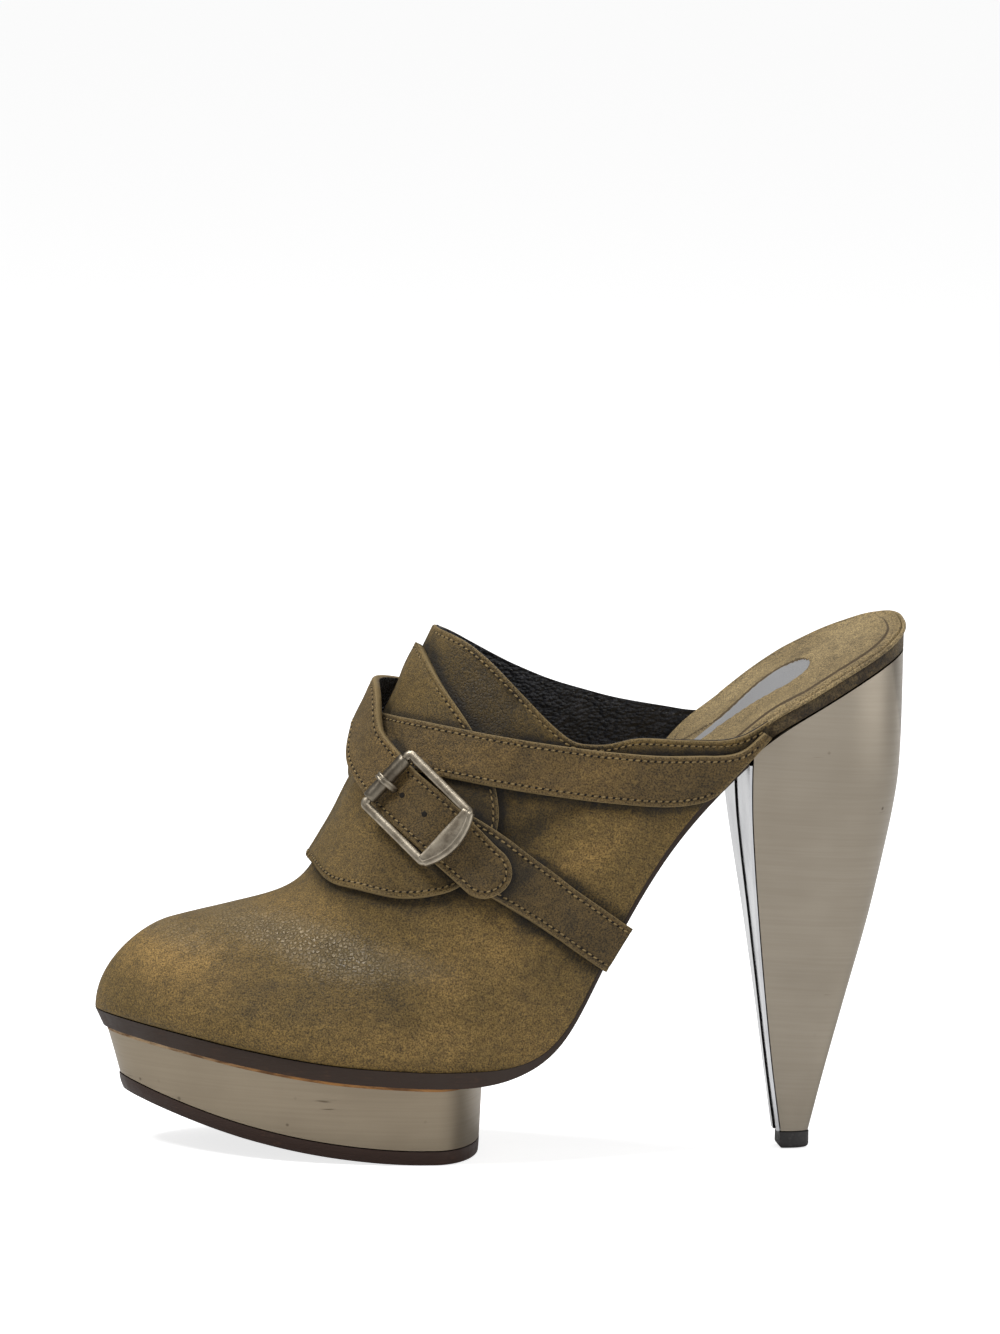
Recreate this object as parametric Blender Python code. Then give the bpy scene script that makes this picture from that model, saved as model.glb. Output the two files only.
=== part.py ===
"""Left platform mule with two crossed straps, a roller buckle and a tall horn heel.

Sizes and tables are in millimetres and the meshes in metres. The toe points to -X, the heel to +X,
the outer side of the foot is at -Y, and the shoe stands on the floor at Z = 0.
"""
import math
from bisect import bisect_right
from collections import Counter, namedtuple

import bmesh
import bpy
from mathutils import Quaternion, Vector

MM = 0.001

# Overall sizes
TOE_X = -105.6
HEEL_X = 105.0
BREAST_X = 62.0
THROAT_X = -19.0
WING_END_X = 66.5
OUTER = -1
INNER = 1

# Thicknesses and fits
UPPER_WALL = 1.8
STRAP_THICK = 1.5
STRAP_WIDTH = 13.3
STRAP_TURNS = 5
STRAP_END = 0.12
OUTSOLE_THICK = 3.6
SEAM = 0.3
LAY = 0.45
FLAP_LAY = 0.6
ON_UPPER = LAY
ON_KILTIE = FLAP_LAY + STRAP_THICK + LAY
ON_STRAP = ON_KILTIE + STRAP_THICK + LAY

# Rounding of the last
TOE_ROUND = 34.0
TOE_RISE = 20.0
TOE_RISE_POWER = 2.1
SEAT_POWER = 2.6
SWELL_AT = 0.2

# Sections of the last: sole and ridge heights, middle line, half widths at the sole edge on the outer and
# inner side, bulge over the sole edge, and how full the section stays towards its ridge.
# Behind the throat the ridge is the line that the open sides would meet at.
Section = namedtuple("Section", "x sole ridge mid outer inner swell crown")
LAST = [
    Section(-105.6, 35.0, 54.0, 6.0, 22.0, 20.0, 0.09, 2.6),
    Section(-95, 33.4, 56.6, 5.5, 26.0, 24.0, 0.09, 2.5),
    Section(-82, 31.4, 60.2, 5.0, 31.5, 28.5, 0.09, 2.3),
    Section(-69, 29.2, 63.6, 4.0, 36.5, 33.0, 0.08, 2.1),
    Section(-56, 27.3, 67.6, 3.0, 40.5, 36.0, 0.08, 1.8),
    Section(-50, 26.6, 71.8, 3.0, 42.0, 37.0, 0.07, 1.6),
    Section(-43, 25.9, 86.2, 3.0, 43.3, 37.5, 0.07, 1.35),
    Section(-30, 25.3, 112.0, 2.5, 44.5, 37.0, 0.06, 1.1),
    Section(-19, 24.9, 137.5, 2.0, 43.6, 35.4, 0.06, 1.0),
    Section(-4, 25.3, 162.0, 2.0, 41.0, 32.0, 0.06, 1.0),
    Section(4, 26.7, 180.0, 2.0, 38.0, 29.5, 0.06, 1.0),
    Section(11, 30.5, 196.0, 2.0, 35.5, 28.0, 0.05, 1.05),
    Section(17, 38.0, 210.0, 1.5, 33.0, 27.0, 0.05, 1.1),
    Section(22, 48.0, 222.0, 1.5, 31.5, 26.5, 0.05, 1.2),
    Section(31, 66.0, 240.0, 1.0, 29.5, 26.0, 0.04, 1.3),
    Section(42, 84.0, 262.0, 0.5, 27.8, 25.8, 0.03, 1.5),
    Section(54, 98.5, 284.0, 0.0, 27.0, 26.0, 0.02, 1.6),
    Section(68, 111.7, 308.0, 0.0, 27.0, 26.5, 0.02, 1.8),
    Section(84, 121.7, 338.0, 0.0, 27.0, 27.0, 0.02, 2.0),
    Section(105, 134.0, 382.0, 0.0, 27.0, 27.0, 0.02, 2.0),
]

# Top edge of the open sides behind the throat.
Collar = namedtuple("Collar", "x outer inner")
COLLAR = [
    Collar(-19, 137.5, 137.5),
    Collar(-13, 135.4, 134.8),
    Collar(-8, 132.0, 132.0),
    Collar(2, 122.3, 126.6),
    Collar(12, 112.6, 122.2),
    Collar(17, 109.5, 120.4),
    Collar(23, 109.4, 118.6),
    Collar(33, 111.4, 116.0),
    Collar(46, 110.9, 113.8),
    Collar(54, 110.8, 112.7),
    Collar(60, 112.1, 113.0),
    Collar(66.5, 116.0, 116.0),
]

# Edge of the flap on each side, from its top on the ridge round to its lower end on the ridge.
# The lift grows over these shares of its length, at the edge first and at the ridge later.
FlapEdge = namedtuple("FlapEdge", "x z")
FLAP_TOP_X = -21.5
FLAP_FOOT_X = -48.8
FLAP_LIFT = 0.8
FLAP_EDGE_LIFT = (0.62, 1.0)
FLAP_RIDGE_LIFT = (0.8, 1.0)
FLAP_EDGE = [
    FlapEdge(-18.4, 124.6),
    FlapEdge(-10.1, 111.5),
    FlapEdge(-5.6, 101.0),
    FlapEdge(-4.0, 91.0),
    FlapEdge(-8.6, 78.2),
    FlapEdge(-16.9, 71.2),
    FlapEdge(-29.7, 69.0),
    FlapEdge(-40.0, 70.4),
    FlapEdge(-46.2, 71.0),
]

# Straps: middle line on the last, half widths above and below it, and height of the underside over the last.
# Side 0 is the ridge itself, whose height is worked out.
Strap = namedtuple("Strap", "x z side above below lift")
HALF = STRAP_WIDTH / 2
WING_RUN = [
    Strap(66.3, 112.6, OUTER, 1.2, 1.2, ON_UPPER),
    Strap(61.5, 106.0, OUTER, 3.0, 0.5, ON_UPPER),
    Strap(57.0, 103.0, OUTER, 4.6, 1.8, ON_UPPER),
    Strap(50.0, 100.8, OUTER, 6.3, 5.8, ON_UPPER),
    Strap(40.0, 100.2, OUTER, HALF, HALF, ON_UPPER),
    Strap(25.0, 101.0, OUTER, HALF, HALF, ON_UPPER),
    Strap(12.0, 102.3, OUTER, HALF, HALF, ON_UPPER),
    Strap(3.0, 103.4, OUTER, HALF, HALF, ON_UPPER + 0.4),
    Strap(-4.5, 104.3, OUTER, HALF, HALF, ON_KILTIE),
]
SOLE_RUN = [
    Strap(6.0, 70.4, OUTER, HALF + 0.8, HALF, ON_UPPER),
    Strap(14.0, 65.4, OUTER, HALF, HALF, ON_UPPER),
    Strap(24.0, 58.6, OUTER, HALF, HALF, ON_UPPER),
    Strap(28.0, 56.0, OUTER, HALF, HALF, ON_UPPER),
]
REAR_CROSSING = [
    Strap(-16.0, 106.0, OUTER, HALF, HALF, ON_KILTIE),
    Strap(-26.0, 107.2, OUTER, HALF, HALF, ON_KILTIE),
    Strap(-32.5, 0.0, 0, HALF, HALF, ON_KILTIE),
    Strap(-32.0, 98.6, INNER, HALF, HALF, ON_KILTIE),
    Strap(-24.8, 91.6, INNER, HALF, HALF, ON_KILTIE),
    Strap(-17.0, 84.9, INNER, HALF, HALF, ON_KILTIE),
    Strap(-7.0, 78.0, INNER, HALF, HALF, ON_KILTIE),
    Strap(-1.0, 74.4, INNER, HALF, HALF, ON_KILTIE - 0.4),
]
FRONT_CROSSING = [
    Strap(-14.0, 108.4, INNER, HALF, HALF, ON_KILTIE + 1.4),
    Strap(-23.2, 112.6, INNER, HALF, HALF, ON_STRAP + 1.8),
    Strap(-29.4, 0.0, 0, HALF, HALF + 1.0, ON_STRAP + 2.4),
    Strap(-31.9, 104.4, OUTER, HALF, HALF + 0.6, ON_STRAP + 1.6),
    Strap(-29.6, 97.4, OUTER, HALF, HALF, ON_STRAP),
    Strap(-22.3, 89.6, OUTER, HALF, HALF, ON_STRAP + 0.6),
    Strap(-14.9, 82.2, OUTER, HALF, HALF, ON_STRAP),
    Strap(-8.4, 76.4, OUTER, HALF, HALF + 0.6, ON_STRAP),
    Strap(-3.2, 72.0, OUTER, HALF, HALF + 1.0, ON_STRAP - 0.6),
]
ANCHOR_START = [
    Strap(-20.9, 88.2, OUTER, HALF, HALF, ON_KILTIE),
    Strap(-15.6, 83.8, OUTER, HALF + 1.5, HALF, ON_KILTIE),
    Strap(-8.6, 79.0, OUTER, HALF + 2.0, HALF, ON_KILTIE),
    Strap(-2.5, 75.0, OUTER, HALF + 1.6, HALF, ON_KILTIE - 0.2),
]

# Sole
TREAD_FLAT_X = -22.0
TREAD_CURVE = 0.0024
ARCH_FROM_X = -13.0
ARCH_FULL_X = 12.0
WELT_FRONT = 3.9
WELT_ARCH = 1.9
WELT_INSET = 0.6
WELT_UNDERCUT = 2.2
PLATFORM_TOE_X = -102.2
PLATFORM_REAR_X = -3.9
PLATFORM_INSET = 1.6
PLATFORM_TAPER = 3.4
SIDE_TAPER = 0.8
REAR_TAPER = 0.15
RUNNER_BEVEL = 1.0
PLATFORM_CORNER = 16.0
PLATFORM_CORNER_POWER = 2.0

# Insole
INSOLE_FRONT = 2.4
INSOLE_SEAT = 9.0
INSOLE_RISE_X = (10.0, 66.0)
INSOLE_TILT = 0.08
INSOLE_TILT_X = (45.0, 80.0)
INSOLE_SIDE_GAP = 0.7
INSOLE_TOE_GAP = 1.6
SEAT_FLARE_X = (WING_END_X + 0.5, WING_END_X + 12.0)

# Heel: front and back at each height, half width across the front, and fullness of the section.
Level = namedtuple("Level", "z front back half power")
HEEL = [
    Level(4.6, 74.6, 83.4, 4.7, 2.2),
    Level(20.0, 72.2, 87.1, 5.2, 2.2),
    Level(39.5, 69.5, 92.1, 7.4, 2.2),
    Level(63.5, 66.2, 98.2, 13.2, 2.25),
    Level(80.0, 63.9, 101.5, 19.4, 2.35),
    Level(92.0, 62.5, 103.6, 23.8, 2.45),
    Level(102.0, 62.0, 104.7, 26.0, 2.55),
    Level(118.0, 62.0, 105.0, 26.8, 2.6),
    Level(134.0, 62.0, 105.0, 26.8, 2.6),
]
HEEL_MIDDLE_X = 86.0
BREAST_THICK = 0.7
BREAST_INSET = 0.15
BREAST_GROOVE = 0.25
TIP_HEIGHT = 4.3
TIP_GROW = 0.2
TIP_DRAFT = 0.96

# Buckle
BUCKLE_AT = -1.35
BUCKLE_ACROSS = 0.5
BUCKLE_REACH = 9.3
BUCKLE_WIDTH = 20.2
BUCKLE_TURN = -4.2
BUCKLE_TILT = 3.0
BUCKLE_CLEAR = 0.9
BAR = 2.2
END_BAR = 3.4
END_BOW = 1.9
FRAME_FLATTEN = 0.9
CENTRE_BAR = 1.5
CENTRE_BAR_BEND = 0.3
CENTRE_BAR_DROP = 3.5
ROLLER_OUTER = 3.6
ROLLER_BORE = 2.5
ROLLER_PIN = 1.7
ROLLER_PLAY = 0.8
PRONG = 1.3
SLOT_BEHIND = 7.2
SLOT_LONG = 4.6

# Prong, from beside the centre bar up through the slot: place along the buckle and height over the bar.
ProngPlace = namedtuple("ProngPlace", "along over_bar")
PRONG_RISE = [
    ProngPlace(-1.5, 0.1),
    ProngPlace(-4.0, 0.3),
    ProngPlace(-6.2, 1.2),
    ProngPlace(-7.4, 3.5),
    ProngPlace(-8.1, 5.1),
]
PRONG_CURL = (62, 90, 118, 146, 170)


def clear_scene():
    for item in list(bpy.data.objects):
        bpy.data.objects.remove(item, do_unlink=True)


def curve_through(xs, ys):
    """Smooth curve through a table that never swings past its points."""
    gaps = [b - a for a, b in zip(xs, xs[1:])]
    rates = [(b - a) / gap for a, b, gap in zip(ys, ys[1:], gaps)]
    slopes = [rates[0]]
    for r0, r1, g0, g1 in zip(rates, rates[1:], gaps, gaps[1:]):
        if r0 * r1 <= 0:
            slopes.append(0.0)
        else:
            slopes.append(3 * (g0 + g1) / ((2 * g1 + g0) / r0 + (g1 + 2 * g0) / r1))
    slopes.append(rates[-1])

    def value(x):
        x = min(max(x, xs[0]), xs[-1])
        i = min(bisect_right(xs, x) - 1, len(gaps) - 1)
        t = (x - xs[i]) / gaps[i]
        u = 1 - t
        from_left = ys[i] * (1 + 2 * t) * u * u + gaps[i] * slopes[i] * t * u * u
        from_right = ys[i + 1] * t * t * (3 - 2 * t) - gaps[i] * slopes[i + 1] * t * t * u
        return from_left + from_right

    return value


def table_curves(rows, key):
    """One smooth curve for each column of a table, over its key column."""
    keys = [getattr(row, key) for row in rows]
    columns = [name for name in rows[0]._fields if name != key]
    return {name: curve_through(keys, [getattr(row, name) for row in rows]) for name in columns}


last = table_curves(LAST, "x")
collar = table_curves(COLLAR, "x")
heel = table_curves(HEEL, "z")


def rounded(distance, length, power=2.0):
    """Grows from 0 to 1 over a length, as the rounded end of an outline does."""
    t = min(max(distance / length, 0.0), 1.0)
    return (1 - (1 - t) ** power) ** (1 / power)


def eased(x, start, end):
    t = min(max((x - start) / (end - start), 0.0), 1.0)
    return t * t * (3 - 2 * t)


def side_name(side):
    return "outer" if side < 0 else "inner"


def sole_z(x):
    return last["sole"](x)


def ridge_z(x):
    foot = sole_z(x)
    return foot + (last["ridge"](x) - foot) * rounded(x - TOE_X, TOE_RISE, TOE_RISE_POWER)


def sole_half(x, side):
    """Half width of the last at its sole edge, rounded at the toe and round the heel seat."""
    half = last[side_name(side)](x) * rounded(x - TOE_X, TOE_ROUND)
    if x > BREAST_X:
        half *= rounded(HEEL_X - x, HEEL_X - BREAST_X, SEAT_POWER)
    return half


def squared_breadth(x, z, side):
    """Square of the half breadth of the last at a height; it is negative above the ridge."""
    foot = sole_z(x)
    rise = max((z - foot) / max(ridge_z(x) - foot, 1e-6), 0.0)
    swell = 1 + last["swell"](x) * rise / SWELL_AT * math.exp(1 - rise / SWELL_AT)
    return (sole_half(x, side) * swell) ** 2 * (1 - rise ** last["crown"](x))


def last_point(x, z, side):
    half = math.sqrt(max(squared_breadth(x, z, side), 0.0))
    return Vector((x, last["mid"](x) + side * half, z))


def outside_by(point):
    """Positive outside the last, negative inside it and zero on its surface."""
    offset = point.y - last["mid"](point.x)
    side = OUTER if offset < 0 else INNER
    return offset * offset - squared_breadth(point.x, point.z, side)


def steepest(point):
    step = 0.05
    gradient = Vector()
    for axis in range(3):
        shift = Vector()
        shift[axis] = step
        gradient[axis] = (outside_by(point + shift) - outside_by(point - shift)) / (2 * step)
    return gradient


def outward(point):
    """Outward normal of the last, read just behind the toe's tip where the tip itself has none."""
    tip = 0.3
    inner = Vector((max(point.x, TOE_X + tip), point.y, point.z))
    return steepest(inner).normalized()


def onto_last(point):
    """Nearest place on the last, with its outward normal."""
    place = point.copy()
    for _ in range(8):
        gradient = steepest(place)
        place -= gradient * (outside_by(place) / gradient.length_squared)
    return place, outward(place)


class Wall:
    """A curved sheet with two faces, closed round its edges; each corner has an outer and an inner point."""

    def __init__(self):
        self.places = {}
        self.outer = []
        self.inner = []
        self.faces = []

    def corner(self, outer, inner):
        key = tuple(round(value, 3) for value in outer)
        if key not in self.places:
            self.places[key] = len(self.outer)
            self.outer.append(outer)
            self.inner.append(inner)
        return self.places[key]

    def add_grid(self, grid, skip=()):
        """Adds the cells between rows of corners, apart from those that are cut out."""
        index = [[self.corner(outer, inner) for outer, inner in row] for row in grid]
        for i, (row, following) in enumerate(zip(index, index[1:])):
            for j in range(len(row) - 1):
                cell = dict.fromkeys([row[j], following[j], following[j + 1], row[j + 1]])
                if (i, j) not in skip and len(cell) > 2:
                    self.faces.append(list(cell))

    def solid(self, name, finish):
        count = len(self.outer)
        sides = [(a, b) for face in self.faces for a, b in zip(face, face[1:] + face[:1])]
        uses = Counter(tuple(sorted(pair)) for pair in sides)
        faces = list(self.faces)
        faces += [[count + corner for corner in reversed(face)] for face in self.faces]
        faces += [[b, a, count + a, count + b] for a, b in sides if uses[min(a, b), max(a, b)] == 1]
        return add_solid(name, self.outer + self.inner, faces, finish)


def add_finish(name, colour, roughness, metallic=0.0):
    finish = bpy.data.materials.new(name)
    finish.use_nodes = True
    shader = finish.node_tree.nodes["Principled BSDF"]
    shader.inputs["Base Color"].default_value = (*colour, 1.0)
    shader.inputs["Roughness"].default_value = roughness
    shader.inputs["Metallic"].default_value = metallic
    return finish


def add_solid(name, points, faces, finish, sharp_degrees=40.0):
    """Closed mesh object from points in millimetres."""
    shape = bmesh.new()
    corners = [shape.verts.new(Vector(point) * MM) for point in points]
    for face in faces:
        shape.faces.new([corners[i] for i in face])
    loose = [corner for corner in shape.verts if not corner.link_faces]
    bmesh.ops.delete(shape, geom=loose, context="VERTS")
    bmesh.ops.recalc_face_normals(shape, faces=shape.faces)
    mesh = bpy.data.meshes.new(name)
    shape.to_mesh(mesh)
    shape.free()
    mesh.materials.append(finish)
    mesh.shade_smooth()
    mesh.set_sharp_from_angle(angle=math.radians(sharp_degrees))
    item = bpy.data.objects.new(name, mesh)
    bpy.context.scene.collection.objects.link(item)
    return item


def end_spaced(start, end, count):
    """Places from start to end, closer together where an outline turns round its ends."""
    return [start + (end - start) * (1 - math.cos(math.pi * i / count)) / 2 for i in range(count + 1)]


def start_spaced(start, end, count, rush=3.0):
    """Places from start to end, closer together only where an outline turns round its start."""
    def grown(t):
        return math.sqrt(1 + (rush * t) ** 2) - 1

    return [start + (end - start) * grown(i / count) / grown(1.0) for i in range(count + 1)]


VAMP_STATIONS = start_spaced(TOE_X, THROAT_X, 22)
WING_STATIONS = start_spaced(THROAT_X, WING_END_X, 19)
SEAT_STATIONS = [HEEL_X + WING_END_X - x for x in reversed(start_spaced(WING_END_X, HEEL_X, 10))]
FOOT_STATIONS = VAMP_STATIONS + WING_STATIONS[1:]


def tread_z(x):
    """Underside of the forefoot: flat at the ball, then an even spring up to the toe."""
    return TREAD_CURVE * max(TREAD_FLAT_X - x, 0.0) ** 2


def welt_thick(x):
    return WELT_FRONT + (WELT_ARCH - WELT_FRONT) * eased(x, ARCH_FROM_X, ARCH_FULL_X)


def welt_under(x):
    return sole_z(x) - SEAM - welt_thick(x)


def add_slab(name, stations, across, top, under, finish):
    """Plate between two surfaces, each given as a function of the station and the place across, -1 to 1."""
    wall = Wall()
    places = [-1 + 2 * j / across for j in range(across + 1)]
    wall.add_grid([[(top(s, k), under(s, k)) for k in places] for s in stations])
    return wall.solid(name, finish)


def across_point(x, k, half, z):
    side = OUTER if k < 0 else INNER
    return Vector((x, last["mid"](x) + k * half(x, side), z))


def platform_half(x, side, shrink):
    """Half width of the platform block, which tapers in towards the floor."""
    corner = rounded(PLATFORM_REAR_X - x, PLATFORM_CORNER, PLATFORM_CORNER_POWER)
    toe = rounded(x - PLATFORM_TOE_X, TOE_ROUND)
    return (last[side_name(side)](x) - PLATFORM_INSET - shrink) * toe * corner


def platform_point(t, k, shrink, z_of):
    """Place on a level of the block; the lower the level, the more it shrinks at the toe, sides and rear."""
    x = PLATFORM_TOE_X + (PLATFORM_REAR_X - PLATFORM_TOE_X) * t
    side = OUTER if k < 0 else INNER
    y = last["mid"](x) + k * platform_half(x, side, shrink * SIDE_TAPER)
    level_x = x + shrink * (1 - t) - shrink * REAR_TAPER * t
    return Vector((level_x, y, z_of(level_x)))


def add_forefoot_block():
    """Leather runner on the floor and the clad block on top of it."""
    stations = end_spaced(0.0, 1.0, 22)
    brown = add_finish("runner leather", (0.055, 0.026, 0.018), 0.6)
    metal = add_finish("brushed gunmetal", (0.40, 0.37, 0.33), 0.35, 0.9)
    runner_shrink = PLATFORM_TAPER + RUNNER_BEVEL

    def runner_top(t, k):
        return platform_point(t, k, PLATFORM_TAPER, lambda x: tread_z(x) + OUTSOLE_THICK)

    def runner_under(t, k):
        return platform_point(t, k, runner_shrink, tread_z)

    def block_top(t, k):
        return platform_point(t, k, 0.0, lambda x: welt_under(x) - SEAM)

    def block_under(t, k):
        return platform_point(t, k, PLATFORM_TAPER, lambda x: tread_z(x) + OUTSOLE_THICK + SEAM)

    add_slab("outsole", stations, 6, runner_top, runner_under, brown)
    add_slab("platform", stations, 6, block_top, block_under, metal)


def add_welt_sole():
    """Main sole under the upper: full round the forefoot, undercut at its edge, thin under the arch."""
    brown = add_finish("welt leather", (0.05, 0.025, 0.018), 0.5)
    stations = [x for x in FOOT_STATIONS if x < BREAST_X - 2] + [BREAST_X - SEAM]

    def half(x, side):
        return sole_half(x, side) - WELT_INSET * eased(x, ARCH_FROM_X, ARCH_FULL_X)

    def top(x, k):
        return across_point(x, k, half, sole_z(x) - SEAM)

    def under(x, k):
        place = across_point(x, k, half, welt_under(x))
        cut = WELT_UNDERCUT * (1 - eased(x, TOE_X, TOE_X + TOE_ROUND))
        place.x += cut
        place.z = welt_under(place.x)
        return place

    add_slab("welt_sole", stations, 4, top, under, brown)


def insole_half(x, side):
    """The footbed lies inside the wall of the upper and comes out to the edge at the heel seat."""
    inside = UPPER_WALL + INSOLE_SIDE_GAP
    return max(sole_half(x, side) - inside + inside * eased(x, *SEAT_FLARE_X), 0.0)


def add_insole():
    front_x = TOE_X + UPPER_WALL + INSOLE_TOE_GAP
    stations = [front_x] + [x for x in FOOT_STATIONS if x > front_x + 0.5] + SEAT_STATIONS[1:]
    leather = add_finish("footbed leather", (0.16, 0.12, 0.065), 0.75)

    def half(x, side):
        return insole_half(x, side) * rounded(x - front_x, TOE_ROUND / 2)

    def top(x, k):
        thick = INSOLE_FRONT + (INSOLE_SEAT - INSOLE_FRONT) * eased(x, *INSOLE_RISE_X)
        place = across_point(x, k, half, sole_z(x) + thick)
        place.z += INSOLE_TILT * place.y * eased(x, *INSOLE_TILT_X)
        return place

    def under(x, k):
        return across_point(x, k, half, sole_z(x))

    add_slab("insole", stations, 4, top, under, leather)


def top_z(x, side):
    """Top of the upper: its ridge as far as the throat, then the open collar."""
    if x <= THROAT_X:
        return ridge_z(x)
    return collar[side_name(side)](x)


def wall_pair(x, z, side, thick):
    """Outer and inner point of the upper's wall; at the sole edge both stand on the sole."""
    place = last_point(x, z, side)
    normal = outward(place)
    if z <= sole_z(x) + 1e-6:
        normal.z = 0.0
        normal.normalize()
        inner = place - normal * thick
        inner.z = sole_z(inner.x)
        return place, inner
    return place, place - normal * thick


def upper_column(x, side, rows):
    foot = sole_z(x)
    rise = top_z(x, side) - foot
    heights = [foot + rise * math.sin(math.pi / 2 * j / rows) for j in range(rows + 1)]
    return [wall_pair(x, z, side, UPPER_WALL) for z in heights]


def add_upper():
    """One hollow wall over the last: closed from toe to throat, then a wing on each side."""
    rows = 11
    leather = add_finish("waxed olive leather", (0.17, 0.125, 0.06), 0.6)
    wall = Wall()
    vamp = []
    for x in VAMP_STATIONS:
        outer_side = upper_column(x, OUTER, rows)
        inner_side = upper_column(x, INNER, rows)
        vamp.append(outer_side + inner_side[-2::-1])
    wall.add_grid(vamp)
    for side in (OUTER, INNER):
        wall.add_grid([upper_column(x, side, rows) for x in WING_STATIONS])
    wall.solid("upper", leather)


def path_through(points):
    """Smooth path through points, over the distance from the first one."""
    run = [0.0]
    for a, b in zip(points, points[1:]):
        run.append(run[-1] + (b - a).length)
    axes = [curve_through(run, [point[axis] for point in points]) for axis in range(3)]
    return run, lambda s: Vector([axis(s) for axis in axes])


def add_kiltie():
    """Flap over the instep, the same on both sides of the ridge, a little lifted along its lower edge."""
    lengthways = 20
    sideways = 6
    leather = add_finish("flap leather", (0.17, 0.125, 0.06), 0.6)
    top = Vector((FLAP_TOP_X, 0.0, ridge_z(FLAP_TOP_X)))
    foot = Vector((FLAP_FOOT_X, 0.0, ridge_z(FLAP_FOOT_X)))
    edge_points = [top] + [Vector((row.x, 0.0, row.z)) for row in FLAP_EDGE] + [foot]
    edge_run, edge_at = path_through(edge_points)
    wall = Wall()
    for side in (OUTER, INNER):
        grid = []
        for s in end_spaced(0.0, 1.0, lengthways):
            ridge_x = FLAP_TOP_X + (FLAP_FOOT_X - FLAP_TOP_X) * s
            ridge = ridge_z(ridge_x)
            edge = edge_at(edge_run[-1] * s)
            row = []
            for j in range(sideways + 1):
                out = 1 - math.cos(math.pi / 2 * j / sideways)
                x = ridge_x + (edge.x - ridge_x) * out
                z = ridge + (edge.z - ridge) * out
                place = last_point(x, z, side)
                normal = outward(place)
                lift = FLAP_LAY + FLAP_LIFT * eased(s, *FLAP_EDGE_LIFT) * max(out, eased(s, *FLAP_RIDGE_LIFT))
                row.append((place + normal * (lift + STRAP_THICK), place + normal * lift))
            grid.append(row)
        wall.add_grid(grid)
    wall.solid("kiltie", leather)


def strap_path(rows):
    """Path of a strap on the last, with its half widths and lift as curves over the distance."""
    points = []
    for row in rows:
        if row.side == 0:
            points.append(Vector((row.x, last["mid"](row.x), ridge_z(row.x))))
        else:
            points.append(last_point(row.x, row.z, row.side))
    run, path = path_through(points)
    columns = {}
    for name in ("above", "below", "lift"):
        columns[name] = curve_through(run, [getattr(row, name) for row in rows])
    return run, path, columns


def strap_row(path, columns, s, across, taper=1.0):
    """Corners across a strap at a distance along it, each laid onto the last and lifted off it."""
    step = 0.5
    middle, normal = onto_last(path(s))
    along = (path(s + step) - path(s - step)).normalized()
    beside = normal.cross(along).normalized()
    if beside.z < 0:
        beside.negate()
    lift = columns["lift"](s)
    row = []
    for j in range(across + 1):
        k = -1 + 2 * j / across
        reach = columns["above"](s) if k > 0 else columns["below"](s)
        place, facing = onto_last(middle + beside * (k * reach * taper))
        row.append((place + facing * (lift + STRAP_THICK), place + facing * lift))
    return row


def add_strap(name, rows, spacing, across, finish, round_end=False, hole=None):
    """Strap laid along its path, with a rounded end or a square one, and a slot for the prong."""
    run, path, columns = strap_path(rows)
    length = run[-1]
    count = round(length / spacing)
    stations = [length * i / count for i in range(count + 1)]
    tapers = [1.0] * len(stations)
    if round_end:
        body = [s for s in stations if s < length - HALF]
        turns = [math.pi / 2 * i / STRAP_TURNS for i in range(STRAP_TURNS + 1)]
        stations = body + [length - HALF * (1 - math.sin(turn)) for turn in turns]
        tapers = [1.0] * len(body) + [max(math.cos(turn), STRAP_END) for turn in turns]
    grid = [strap_row(path, columns, s, across, taper) for s, taper in zip(stations, tapers)]
    skip = set()
    if hole:
        middle = across // 2
        skip = {(i, middle) for i, s in enumerate(stations[:-1]) if hole[0] <= s <= hole[1]}
    wall = Wall()
    wall.add_grid(grid, skip)
    return wall.solid(name, finish)


def nearest_run(run, path, target):
    """Distance along a path at which it passes closest to a point."""
    steps = 400
    places = [run[-1] * i / steps for i in range(steps + 1)]
    return min(places, key=lambda s: (path(s) - target).length)


def on_inner_side(rows):
    return [row._replace(side=INNER) for row in rows]


def front_strap():
    return on_inner_side(WING_RUN) + FRONT_CROSSING


def add_straps(buckle_run):
    leather = add_finish("strap leather", (0.14, 0.105, 0.055), 0.65)
    slot_at = buckle_run - SLOT_BEHIND
    slot = (slot_at - SLOT_LONG / 2, slot_at + SLOT_LONG / 2)
    add_strap("strap_rear", WING_RUN + REAR_CROSSING + on_inner_side(SOLE_RUN), 4.8, 4, leather)
    add_strap("strap_front", front_strap(), 4.0, 5, leather, round_end=True, hole=slot)
    add_strap("strap_anchor", ANCHOR_START + SOLE_RUN, 4.6, 4, leather)


def tube(path, radius, sides, flatten=1.0, up=None, closed=False):
    """Points and faces of a round or flattened bar along a path."""
    points = []
    count = len(path)
    for i, place in enumerate(path):
        before = path[i - 1] if closed or i > 0 else path[0]
        after = path[(i + 1) % count] if closed or i < count - 1 else path[-1]
        along = (after - before).normalized()
        across = along.cross(up).normalized()
        high = across.cross(along)
        size = radius[i] if isinstance(radius, list) else radius
        for k in range(sides):
            turn = 2 * math.pi * (k + 0.5) / sides
            points.append(place + across * (size * math.cos(turn)) + high * (size * flatten * math.sin(turn)))
    faces = []
    for i in range(count if closed else count - 1):
        a = i * sides
        b = (i + 1) % count * sides
        for k in range(sides):
            m = (k + 1) % sides
            faces.append([a + k, a + m, b + m, b + k])
    if not closed:
        faces.append(list(range(sides)))
        faces.append([(count - 1) * sides + k for k in reversed(range(sides))])
    return points, faces


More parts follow.
